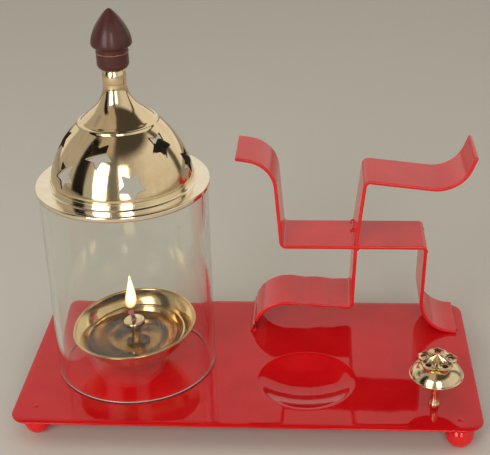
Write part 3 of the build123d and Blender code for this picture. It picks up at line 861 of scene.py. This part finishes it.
# Oil: the bowl's hollow, cut off level
bm = bmesh.new()
hollow = [(0, 0.88), (9.0, 0.88)] + [(r + 0.03, z - 0.02) for r, z in inside_low[-2::-1]]
hollow += [(27.05, 13.72), (27.9, 14.0)] + flare_inside[-2::-1] + [(33.3, 20.2), (0, 20.2)]
lathe_into(bm, hollow, 160)
to_world = BOWL_AT.copy()
to_world.translation /= MM
bm.transform(to_world)
bmesh.ops.recalc_face_normals(bm, faces=bm.faces)
bmesh.ops.bisect_plane(
    bm,
    geom=bm.verts[:] + bm.edges[:] + bm.faces[:],
    plane_co=(0, 0, TOP + OIL_Z),
    plane_no=(0, 0, 1),
    clear_outer=True,
)
bmesh.ops.holes_fill(bm, edges=[e for e in bm.edges if e.is_boundary])
bm.transform(Matrix.Translation((-BOWL[0], -BOWL[1], -(TOP + OIL_Z))))
oil = finish_mesh("lamp_oil_pool", bm, at(*BOWL, TOP + OIL_Z), sharp=25)
piece(oil, "root", "lamp_oil", oil_look, "lamp_oil")

# Pedestal: the same waisted foot that is under the bowl in the frame, its top hidden in the bowl's floor
pedestal_line = [(0, BOWL_STUD_END), (2.1, BOWL_STUD_END), (2.4, BOWL_STUD_END + 0.3)]
pedestal_line += [(2.4, 0), (7.5, 0), (7.5, 0.8)]
pedestal_line += arc((7.5, 0.8), (5.0, 2.2), (6.0, 4.3), 12) + [(0, 4.4)]
pedestal = lathe("bowl_pedestal_turned", pedestal_line, at(*BOWL, TOP), steps=96)
piece(pedestal, "root", "polished_brass", turned_brass, "bowl_pedestal")

# Wick holder
POST_TOP, HEAD_R = 22.6, 5.9
HEAD_LOW = POST_TOP - 2.4
post_line = [(1.4, 0.85), (7.0, 0.85), (7.0, 1.9)] + arc((7.0, 1.9), (3.3, 6.5), (2.7, 12.5), 14)
post_line += arc((2.7, 12.5), (3.2, 16.2), (HEAD_R - 0.6, HEAD_LOW - 0.8), 14)
post_line += arc((HEAD_R - 0.6, HEAD_LOW - 0.8), (HEAD_R - 0.1, HEAD_LOW - 0.5), (HEAD_R, HEAD_LOW), 6)
post_line += arc((HEAD_R, POST_TOP - 1.0), (HEAD_R - 0.2, POST_TOP - 0.5), (HEAD_R - 0.7, POST_TOP - 0.25), 6)
post_line += [(2.3, POST_TOP - 0.05), (1.75, POST_TOP - 0.15), (1.4, POST_TOP - 0.6)]
post = lathe("wick_holder_turned", post_line, BOWL_AT, steps=96)
piece(post, "root", "polished_brass", turned_brass, "wick_holder")

# Wick: three strands twisted together, bent over and charred where it leaves its holder
bowl_origin = Vector((*BOWL, TOP + SEAT))
wick_points = [bowl_origin + bowl_up * h for h in (3.0, 12, POST_TOP - 0.6)]
wick_points.append(bowl_origin + bowl_up * (POST_TOP + 1.6) + Vector((0.15, 0, 0)))
wick_points += [Vector((-65.9, -2.0, TOP + 30.2)), Vector((-66.35, -2.3, TOP + 32.4))]
WICK_R = 1.12
CHAR_Z = TOP + 29.6


def build_wick():
    bm = bmesh.new()
    before, after = wick_points[0] * 2 - wick_points[1], wick_points[-1] * 2 - wick_points[-2]
    path = smooth_line([before, *wick_points, after], 14)
    rings = []
    around = 30
    for i, p in enumerate(path):
        along = (path[min(i + 1, len(path) - 1)] - path[max(i - 1, 0)]).normalized()
        side = Vector((0, 1, 0)).cross(along).normalized()
        other = along.cross(side)
        part = i / (len(path) - 1)
        swell = 1.0 + (0.55 * exp(-(((part - 0.97) / 0.05) ** 2)) if part > 0.8 else 0)
        ring = []
        for k in range(around):
            a = 2 * pi * k / around
            lobes = 0.80 + 0.20 * abs(cos(1.5 * (a + i * 0.32)))
            loose = 1 + 2 * max(0, part - 0.75) * 4
            fray = 1 + 0.16 * noise.noise(Vector((cos(a) * 2, sin(a) * 2, i * 0.5))) * loose
            r = WICK_R * lobes * swell * fray
            if i == len(path) - 1:
                r *= 0.45
            ring.append(bm.verts.new(p + side * r * cos(a) + other * r * sin(a)))
        rings.append(ring)
    skin(bm, rings)
    return finish_mesh("cotton_wick_twisted", bm, None, sharp=70)


piece(build_wick(), "root", "red_cotton", make_cotton(CHAR_Z * MM), "cotton_wick")

# Flame: a thin-skinned teardrop of light on the wick's end
FLAME_H = 20.6
flame_side = [(1.3, 0.1), (2.7, 1.3), (3.35, 4.0), (3.2, 7.2), (2.45, 11.2), (1.45, 15.2), (0.6, 18.8)]
flame_line = [(0, 0), *curve([*flame_side, (0.05, FLAME_H)], 6), (0, FLAME_H + 0.05)]


def flame_lean(r, z, a):
    return r * (1 + 0.05 * sin(a + z / 5)), z


FLAME_AT = at(-66.3, -2.3, TOP + 35.0)
flame = lathe("flame_light", flame_line, FLAME_AT, steps=64, soft=0, wobble=flame_lean)
for v in flame.data.vertices:
    z = v.co.z / MM
    v.co.x += (0.45 * sin(z / 9.0) + 0.02 * z) * MM
flame.data.materials.append(flame_look)
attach(flame, "root")

# ------------------------------------------------------------------ glass chimney

WALL = 3.2
glass_line = [(GLASS_R - WALL, 0), (GLASS_R, 0), (GLASS_R, GLASS_H), (GLASS_R - WALL, GLASS_H)]


def glass_unevenness(r, z, a):
    """Drawn glass is never quite round or even."""
    w = noise.noise(Vector((cos(a) * 1.6, sin(a) * 1.6, z / 60)))
    w += 0.5 * noise.noise(Vector((cos(a) * 4, sin(a) * 4, z / 30 + 5)))
    return r + 0.07 * w, z


glass_rings = soften(glass_line, 0.7, 6)
side_heights = [GLASS_H * k / 28 for k in range(1, 28)]
split_out = next(i for i, (r, z) in enumerate(glass_rings) if z > GLASS_H / 2)
glass_rings[split_out:split_out] = [(GLASS_R, z) for z in side_heights]
glass_rings += [(GLASS_R - WALL, z) for z in reversed(side_heights)]
bm = bmesh.new()
lathe_into(bm, glass_rings, 256, glass_unevenness)
# Seeds, the small bubbles in blown glass
chance = random.Random(7)
seeds = set()
for i in range(26):
    made = bmesh.ops.create_icosphere(bm, subdivisions=2, radius=chance.uniform(0.16, 0.42))
    a, z = chance.uniform(0, 2 * pi), chance.uniform(6, GLASS_H - 8)
    r = GLASS_R - WALL * chance.uniform(0.35, 0.65)
    for v in made["verts"]:
        v.co = Vector((v.co.x, v.co.y, v.co.z * 1.9)) + Vector((r * cos(a), r * sin(a), z))
        seeds.add(v)
bmesh.ops.recalc_face_normals(bm, faces=bm.faces)
bmesh.ops.reverse_faces(bm, faces=[f for f in bm.faces if f.verts[0] in seeds])
glass = finish_mesh("chimney_glass", bm, at(*LAMP, TOP), outward=False)
piece(glass, "chimney", "clear_glass", [clear_glass, ground_glass], "glass_chimney")
# The cut and ground ends
GROUND = 0.7
for f in glass.data.polygons:
    if abs(f.normal.z) > 0.35 and not GROUND <= f.center.z / MM <= GLASS_H - GROUND:
        f.material_index = 1

# ------------------------------------------------------------------ lid

LID_AT = at(*LAMP, LID_Z)
FLANGE_HOLE_R, LIP_IN_R, LIP_LOW = 36.4, 45.0, -2.7
COLLAR_OUT_R, COLLAR_IN_R, COLLAR_H = 38.2, 37.52, 3.4
flange_line = [(FLANGE_HOLE_R, 0), (FLANGE_HOLE_R, -FLANGE_SHEET), (LIP_IN_R, -FLANGE_SHEET)]
flange_line += [(LIP_IN_R, LIP_LOW), (FLANGE_R - 0.05, LIP_LOW), (FLANGE_R, -2.3), (FLANGE_R, -0.75)]
flange_line += arc((FLANGE_R, -0.75), (FLANGE_R - 0.25, -0.22), (FLANGE_R - 0.85, 0.0), 5)
flange_line += [(39.0, 0.0)] + arc((39.0, 0.0), (38.45, 0.25), (COLLAR_OUT_R, 0.8), 4)
flange_line += [(COLLAR_OUT_R, COLLAR_H - 0.3), (COLLAR_OUT_R - 0.1, COLLAR_H), (37.6, COLLAR_H)]
flange_line += [(COLLAR_IN_R, 3.2), (COLLAR_IN_R, 0.0)]
bm = bmesh.new()
lathe_into(bm, soften(flange_line, 0.12), 224)
flange = finish_mesh("lid_flange_spun", bm, LID_AT)
piece(flange, "lid", "polished_brass", [flange_brass_painted_light, copper_edge], "lid_flange")
# The lip's bare edge
for f in flange.data.polygons:
    r = hypot(f.center.x, f.center.y) / MM
    if r > FLANGE_R - 0.8 and f.center.z / MM < -1.95:
        f.material_index = 1

SKIRT_TOP, RING = (37.5, 4.4), (20.3, 33.6)
DOME_SHEET = 0.8
NECK_TOP = (6.0, 54.3)
dome_out = [(37.5, 0.1), SKIRT_TOP] + arc(SKIRT_TOP, (31.5, 20.0), RING, 44)
slope = Vector((-0.766, 0.643))
CONE_LENGTH = 9.4
steps_up = [CONE_LENGTH * k / 6 for k in range(1, 7)]
dome_out += [(RING[0] + slope.x * step, RING[1] + slope.y * step) for step in steps_up]
dome_out += arc(dome_out[-1], (7.55, 46.9), NECK_TOP, 22)


def offset_line(line, distance):
    """The same line moved sideways by a distance, to its left."""
    out = []
    for i, p in enumerate(line):
        a = Vector(line[max(i - 1, 0)])
        b = Vector(line[min(i + 1, len(line) - 1)])
        d = (b - a).normalized()
        out.append((p[0] - d.y * distance, p[1] + d.x * distance))
    return out


def with_bead(line):
    """Raises the rolled ring where the neck begins."""
    fine = []
    for (r0, z0), (r1, z1) in zip(line, line[1:]):
        n = 8 if abs((z0 + z1) / 2 - RING[1]) < 2.2 else 1
        fine += [(r0 + (r1 - r0) * k / n, z0 + (z1 - z0) * k / n) for k in range(n)]
    raised = []
    for r, z in [*fine, line[-1]]:
        lift = 0.45 * exp(-(((z - RING[1]) / 0.5) ** 2))
        groove = -0.10 * exp(-(((z - RING[1] - 1.0) / 0.5) ** 2))
        raised.append((r + 0.65 * (lift + groove), z + 0.75 * (lift + groove)))
    return raised


dome_in = offset_line(dome_out, DOME_SHEET)
bm = bmesh.new()
lathe_into(bm, with_bead(dome_out) + list(reversed(dome_in)), 288)
dome = finish_mesh("lid_dome_spun", bm, LID_AT, sharp=45)

STAR_R, NOTCH_R = 7.85, 4.05
UPPER_STARS = ((-169, 25.5), (-102, 25.3), (-32, 25.8), (41, 25.5), (116, 25.5))
LOWER_STARS = ((-136, 13.2), (-72, 11.3), (-4, 12.3), (70, 12.3), (147, 12.3))


def star_outline():
    corners = []
    for i in range(10):
        r = STAR_R if i % 2 == 0 else NOTCH_R
        a = pi * (1 + i / 5)
        corners.append(Vector((r * sin(a), r * cos(a))))
    out = []
    for i, b in enumerate(corners):
        a, c = corners[i - 1], corners[(i + 1) % 10]
        out += round_corner(b, a - b, c - b, 0.95 if i % 2 == 0 else 0.45, 4)
    return out


def dome_point(height):
    """The dome's outside radius at a height, and the way its surface faces there."""
    for (r0, z0), (r1, z1) in zip(dome_out, dome_out[1:]):
        if z0 <= height <= z1:
            t = (height - z0) / (z1 - z0)
            d = Vector((r1 - r0, z1 - z0)).normalized()
            return r0 + (r1 - r0) * t, Vector((d.y, 0, -d.x))


cutter = bmesh.new()
star = star_outline()
for angle, height in UPPER_STARS + LOWER_STARS:
    r, out = dome_point(height)
    turn = Matrix.Rotation(radians(angle), 3, "Z")
    n = turn @ out
    right = turn @ Vector((0, 1, 0))
    up = n.cross(right)
    centre = turn @ Vector((r, 0, height))
    rings = []
    for depth in (-5.0, 4.0):
        places = [centre + n * depth + right * p.x + up * p.y for p in star]
        rings.append([cutter.verts.new(place) for place in places])
    skin(cutter, rings)
whole = cut_from(dome, cutter)
keep_smooth_normals(dome, whole)
piece(dome, "lid", "polished_brass", [dome_brass, soot_and_shade_brass], "lid_dome")
# Soot on the dome's inside
for f in dome.data.polygons:
    c = f.center
    radial = Vector((c.x, c.y, 0)).normalized()
    inward = f.normal.dot(radial) < -0.2 or (f.normal.z < -0.3 and f.normal.dot(radial) < 0.3)
    if inward and c.z / MM > 0.4:
        f.material_index = 1

COLLAR_TOP = 61.1
neck_r, neck_z = NECK_TOP
collar_line = [(neck_r - DOME_SHEET, neck_z + 0.2), (neck_r - 0.15, neck_z - 0.35)]
collar_line += [(neck_r + 0.1, neck_z - 0.25), (neck_r + 0.17, neck_z + 0.15)]
collar_line += arc((6.12, 54.7), (6.25, 56.8), (5.55, 60.6), 14)
collar_line += [(5.3, 61.05), (2.1, COLLAR_TOP), (2.1, 60.1), (4.8, 60.1)]
collar = lathe("lid_collar_turned", collar_line, LID_AT, steps=128, soft=0.06)
piece(collar, "lid", "polished_brass", [turned_brass, copper_edge], "lid_collar")
# The joint between the collar and the dome's neck
for f in collar.data.polygons:
    if f.center.z / MM < neck_z + 0.22:
        f.material_index = 1

KNOB_TIP = 91.9
knob_line = [(0, COLLAR_TOP), (5.4, COLLAR_TOP)]
knob_line += arc((5.4, COLLAR_TOP), (7.35, 62.15), (8.15, 64.0), 8)
knob_line += [(8.17, 69.7), (8.15, 72.0), (8.35, 72.35), (9.9, 73.4)]
knob_line += arc((9.9, 73.4), (10.33, 74.2), (10.36, 75.2), 6)
knob_side = [(10.36, 75.2), (10.0, 77.4), (9.35, 79.5), (8.2, 82.2), (6.4, 85.3), (4.6, 87.8)]
knob_side += [(3.0, 89.75), (1.7, 91.1), (0.8, 91.75), (0.0, KNOB_TIP)]
knob_line += curve(knob_side, 5)[1:-1] + [(0, KNOB_TIP)]
knob = lathe("knob_moulded", knob_line, LID_AT, steps=128, soft=0.25)
piece(knob, "lid", "brown_plastic", brown_plastic, "knob")

# The mould's flash, an uneven thread round the knob
bm = bmesh.new()
rings = []
turns, around = 180, 8
FLASH_R, FLASH_Z = 8.14, 69.9
for i in range(turns):
    a = 2 * pi * i / turns
    w = noise.noise(Vector((cos(a) * 2.2, sin(a) * 2.2, 3)))
    fine = noise.noise(Vector((cos(a) * 9, sin(a) * 9, 1)))
    z = FLASH_Z + 0.28 * w + 0.16 * fine
    size = 0.27 * (1 + 0.7 * fine + 0.4 * w)
    ring = []
    for k in range(around):
        t = 2 * pi * k / around
        r = FLASH_R + size * 0.55 * cos(t)
        ring.append(bm.verts.new((r * cos(a), r * sin(a), z + size * sin(t))))
    rings.append(ring)
skin(bm, rings, "joined")
piece(finish_mesh("knob_mould_flash", bm, LID_AT, sharp=80), "lid", "brown_plastic", mould_flash)

# ------------------------------------------------------------------ incense holder

INCENSE_AT = at(*INCENSE, TOP)
stem_line = [(0, STEM_END), (1.7, STEM_END), (2.0, STEM_END + 0.3), (2.0, 0), (3.35, 0), (3.35, 0.5)]
stem_line += arc((3.35, 0.5), (2.5, 3.2), (2.25, 7.0), 10) + [(2.25, 15.0)]
stem_line += arc((2.25, 15.0), (2.6, 20.5), (4.2, 24.9), 10) + [(1.5, 24.9), (1.5, 28.4), (0, 28.4)]
stem = lathe("incense_stem_turned", stem_line, INCENSE_AT, steps=80, soft=0.1)
piece(stem, "root", "polished_brass", turned_brass, "incense_stem")

cap_line = [(13.55, 18.5), (13.9, 18.5)] + arc((13.95, 18.52), (14.2, 18.9), (13.98, 19.35), 6)
cap_line += [(13.72, 19.55)] + arc((13.68, 19.8), (11.5, 23.1), (4.6, 26.2), 22)
cap_line += [(1.5, 26.2), (1.5, 24.9), (4.2, 24.9)] + arc((4.2, 24.9), (10.6, 22.3), (13.0, 18.6), 16)
cap = lathe("incense_cap_spun", cap_line, INCENSE_AT, steps=160, soft=0.08)

FLOWER_Z, PETALS, FLOWER_TURN = 26.9, 5, 11
HALF_PETAL = 180 / PETALS
HOLE_RING, HOLE_R = 7.4, 1.5
hole_turns = [radians(FLOWER_TURN + i * 360 / PETALS) for i in range(PETALS)]
hole_places = [(HOLE_RING * cos(a), HOLE_RING * sin(a)) for a in hole_turns]


def petal_edge(angle):
    """The flower's outline: five round lobes, each a little ruffled."""
    phi = (degrees(angle) - FLOWER_TURN + HALF_PETAL) % (2 * HALF_PETAL) - HALF_PETAL
    p = radians(phi)
    d, r = 6.1, 4.6
    edge = d * cos(p) + sqrt(max(r * r - (d * sin(p)) ** 2, 0.0))
    edge += 0.9 * exp(-(((HALF_PETAL - abs(phi)) / 9) ** 2))
    return edge * (1 + 0.015 * cos(radians(phi * 15))) - 0.22, phi


def build_flower():
    bm = bmesh.new()
    around, out_steps = 240, 26
    cone_r, tip = 3.9, 4.25
    top, low = [], []
    for i in range(out_steps + 1):
        t = i / out_steps
        ring_t, ring_l = [], []
        for k in range(around):
            a = 2 * pi * k / around
            edge, phi = petal_edge(a)
            rho = edge * t
            # Ridges run from the point at the middle out between the petals, with a groove on each side
            off = HALF_PETAL - abs(phi)
            seam = exp(-((off / 13.0) ** 2))
            groove = exp(-(((off - 17) / 5.5) ** 2)) * exp(-(((rho - 3.6) / 2.2) ** 2))
            point = (tip - 1.0) * max(0.0, 1 - rho / cone_r) * (1 - seam)
            ridge = (tip - 1.0) * max(0.0, 1 - rho / 10.2) ** 1.25 * seam
            z = 1.0 + point + ridge - 0.75 * groove
            z += (0.55 - 0.25 * seam) * max(0.0, (t - 0.78) / 0.22) ** 2
            z += 0.20 * max(0.0, t - 0.5) * cos(radians(phi * 15))
            drop = 0.26 * max(0.0, (t - 0.93) / 0.07) ** 2
            ring_t.append(bm.verts.new((rho * cos(a), rho * sin(a), FLOWER_Z + z - drop)) if i else None)
            zl = 0.02 + (0.40 - 0.15 * seam) * max(0.0, (t - 0.78) / 0.22) ** 2
            zl += 0.2 * max(0.0, (t - 0.93) / 0.07) ** 2
            ring_l.append(bm.verts.new((rho * cos(a), rho * sin(a), FLOWER_Z + zl)) if i else None)
        top.append(ring_t)
        low.append(ring_l)
    peak = bm.verts.new((0, 0, FLOWER_Z + tip))
    base = bm.verts.new((0, 0, FLOWER_Z + 0.02))
    for k in range(around):
        m = (k + 1) % around
        bm.faces.new((peak, top[1][k], top[1][m]))
        bm.faces.new((base, low[1][m], low[1][k]))
        for i in range(1, out_steps):
            bm.faces.new((top[i][k], top[i + 1][k], top[i + 1][m], top[i][m]))
            bm.faces.new((low[i][m], low[i + 1][m], low[i + 1][k], low[i][k]))
        bm.faces.new((top[-1][k], low[-1][k], low[-1][m], top[-1][m]))
    # Short neck down to the cap
    lathe_into(bm, [(0, 26.15), (4.7, 26.15), (4.4, 26.5), (4.6, 27.2), (0, 27.2)], 48)
    return finish_mesh("incense_flower_cast", bm, INCENSE_AT, sharp=60)


flower = build_flower()


def hole_cutter(z0, z1):
    """Pegs where the holes are, between two heights."""
    bm = bmesh.new()
    size = {"radius1": HOLE_R, "radius2": HOLE_R, "depth": z1 - z0}
    for x, y in hole_places:
        made = bmesh.ops.create_cone(bm, cap_ends=True, segments=40, **size)
        for v in made["verts"]:
            v.co += Vector((x, y, (z0 + z1) / 2))
    return bm


for obj, z0, z1 in ((flower, 26.4, 30.0), (cap, 18.0, 26.35)):
    whole = cut_from(obj, hole_cutter(z0, z1))
    keep_smooth_normals(obj, whole)
piece(flower, "root", "polished_brass", [cast_brass, soot_and_shade_brass], "incense_flower")
piece(cap, "root", "polished_brass", [turned_brass, soot_and_shade_brass], "incense_dome")
# Painted shade: dark brass in and round the holes, under the flower's neck and on the cap's inside
NECK_SHADE_R, CAP_INSIDE_R = 5.6, 13.2
for obj in (flower, cap):
    for f in obj.data.polygons:
        c = f.center / MM
        near = min(hypot(c.x - x, c.y - y) for x, y in hole_places)
        r = hypot(c.x, c.y)
        inside = obj is cap and (r < NECK_SHADE_R or (f.normal.z < 0 and r < CAP_INSIDE_R))
        if near < HOLE_R + (0.2 if obj is flower else 0.05) or inside:
            f.material_index = 1

# ------------------------------------------------------------------ fixings under the tray and in the lid

def nut(node, place, bore, body):
    """A hexagon nut with chamfered corners, as high and as wide as its node."""
    bm = bmesh.new()
    z_low, z_high = heights(node)
    half = half_size(node)[1]
    steps, chamfer, chamfer_r, corner_r = 72, 0.35, half * 0.97, half * 2 / sqrt(3)
    turns = [2 * pi * k / steps for k in range(steps)]
    flats = [half / cos((a % (pi / 3)) - pi / 6) for a in turns]
    levels = [(z_low, chamfer_r), (z_low + chamfer, corner_r)]
    levels += [(z_high - chamfer, corner_r), (z_high, chamfer_r)]
    rings = []
    for z, limit in levels:
        reach = [min(flat, limit) for flat in flats]
        rings.append([bm.verts.new((r * cos(a), r * sin(a), z)) for r, a in zip(reach, turns)])
    for z, r in ((z_high, bore + 0.25), (z_high - 0.3, bore), (z_low + 0.3, bore), (z_low, bore + 0.25)):
        rings.append([bm.verts.new((*p, z)) for p in circle(r, steps)])
    skin(bm, rings, "joined")
    obj = finish_mesh(node + "_hex", bm, at(*place, 0), sharp=25)
    piece(obj, body, "plated_steel", plated_steel, node)


for label, place, stud_r in (("bowl", BOWL, 2.4), ("incense", INCENSE, 2.0)):
    nut(label + "_nut", place, stud_r, "root")
    low, high = heights(label + "_washer")
    r, hole_r = half_size(label + "_washer")[0], stud_r + 0.1
    line = [(hole_r, low), (r, low), (r, high), (hole_r, high)]
    washer = lathe(label + "_washer_plain", line, at(*place, 0), steps=72)
    piece(washer, "root", "plated_steel", plated_steel, label + "_washer")
KNOB_STUD_R = 2.0
nut("knob_nut", LAMP, KNOB_STUD_R, "lid")
low, high = heights("knob_stud")
stud_line = [(0, low), (KNOB_STUD_R - 0.3, low), (KNOB_STUD_R, low + 0.3), (KNOB_STUD_R, high - 0.1)]
stud = lathe("knob_stud_steel", [*stud_line, (0, high - 0.1)], at(*LAMP, 0), steps=48, soft=0.1)
piece(stud, "lid", "plated_steel", plated_steel, "knob_stud")

# ------------------------------------------------------------------ floor, light and camera

def make_floor():
    s = Shader("floor")
    return s.solid(
        Base_Color=rgba(0.66, 0.635, 0.575),
        Roughness=s.span(s.noise(6, 2.0, 0.5), 0.3, 0.7, 0.75, 0.85),
    )


bm = bmesh.new()
bmesh.ops.create_grid(bm, x_segments=4, y_segments=4, size=4.0)
mesh = bpy.data.meshes.new("floor")
bm.to_mesh(mesh)
bm.free()
floor = add_object("floor", mesh)
mesh.materials.append(make_floor())

# The studio: pale walls behind and to the right, a dim ceiling, and dark gaps beside the front boxes
world = bpy.data.worlds.new("studio")
bpy.context.scene.world = world
world.use_nodes = True


class Studio(Shader):
    """The room's brightness by compass bearing from the front (right is plus) and by elevation."""

    def __init__(self, tree):
        self.tree = tree
        self.tree.nodes.clear()
        self.out = self.add("ShaderNodeOutputWorld")
        way = self.add("ShaderNodeTexCoord").outputs["Generated"]
        x, y, z = self.add("ShaderNodeSeparateXYZ", Vector=way).outputs
        self.bearing = self.degrees(self.math("ARCTAN2", x, self.product(y, -1.0)))
        self.height = self.degrees(self.math("ARCSINE", z))

    def degrees(self, value):
        return self.product(value, 180 / pi)

    def band(self, value, low, high, soft):
        """1 between low and high, 0 outside them."""
        rise = self.span(value, low - soft, low + soft, 0.0, 1.0)
        return self.product(rise, self.span(value, high - soft, high + soft, 1.0, 0.0))

    def shade(self, level, to, where):
        """Moves the level to another one where the mask is 1."""
        mix = self.add("ShaderNodeMix", {"data_type": "FLOAT"})
        self.set(mix, "0", where)
        self.set(mix, "2", level)
        self.set(mix, "3", to)
        return mix.outputs[0]


studio = Studio(world.node_tree)
level = studio.span(studio.bearing, 20, 60, 0.44, 0.76)
level = studio.shade(level, 0.82, studio.math("GREATER_THAN", studio.math("ABSOLUTE", studio.bearing), 124))
level = studio.shade(level, 0.10, studio.band(studio.bearing, 112, 124, 2))
level = studio.shade(level, 0.18, studio.band(studio.bearing, -20, 4, 3))
ceiling = studio.shade(0.07, 0.48, studio.band(studio.bearing, -100, -8, 6))
upward = studio.span(studio.height, 42, 52, 0.0, 1.0)
level = studio.shade(level, ceiling, upward)
gap = studio.product(studio.band(studio.bearing, -77, -54, 1.5), studio.span(studio.height, 54, 62, 1.0, 0.0))
level = studio.shade(level, 0.012, gap)
tint = studio.mix(upward, rgba(1.0, 0.955, 0.86), rgba(1.0, 0.87, 0.70))
background = studio.add("ShaderNodeBackground", Color=tint, Strength=level)
studio.tree.links.new(background.outputs[0], studio.out.inputs["Surface"])


def softbox(name, bearing, height, distance, wide, tall, glow, mirrored=True):
    """A soft light box, as seen from the lamp: where it stands, its width and height in degrees, its glow."""
    light = bpy.data.lights.new(name, "AREA")
    light.shape = "RECTANGLE"
    light.size = 2 * distance * tan(radians(wide / 2))
    light.size_y = 2 * distance * tan(radians(tall / 2))
    light.energy = pi * light.size * light.size_y * glow
    light.color = (1.0, 0.98, 0.94)
    obj = add_object(name, light)
    a, e = radians(bearing), radians(height)
    away = Vector((sin(a) * cos(e), -cos(a) * cos(e), sin(e)))
    turn = away.to_track_quat("Z", "Y").to_matrix().to_4x4()
    obj.matrix_world = Matrix.Translation(away * distance + Vector((0, 0, 0.06))) @ turn
    obj.visible_camera = False
    obj.visible_glossy = mirrored


softbox("front_left_box", -29, 21, 1.6, 21, 38, 4.6)
softbox("front_right_box", 11, 22, 1.6, 15, 36, 4.0)
softbox("overhead_box", 0, 80, 1.3, 42, 42, 1.0, mirrored=False)

bpy.context.scene.view_settings.view_transform = "Standard"

camera_data = bpy.data.cameras.new("camera")
camera = add_object("camera", camera_data)
bpy.context.scene.camera = camera
camera_data.sensor_width = 36.0
camera_data.lens = 80.22
camera_data.clip_start = 0.01
yaw, pitch, roll = radians(-4.471), radians(27.352), radians(-1.691)
forward = Vector((sin(yaw) * cos(pitch), cos(yaw) * cos(pitch), -sin(pitch)))
right = Vector((cos(yaw), -sin(yaw), 0))
up = right.cross(forward)
rolled_right = right * cos(roll) + up * sin(roll)
rolled_up = up * cos(roll) - right * sin(roll)
turn = Matrix((rolled_right, rolled_up, -forward)).transposed().to_4x4()
camera.matrix_world = Matrix.Translation((0.039625, -0.518932, 0.369215)) @ turn
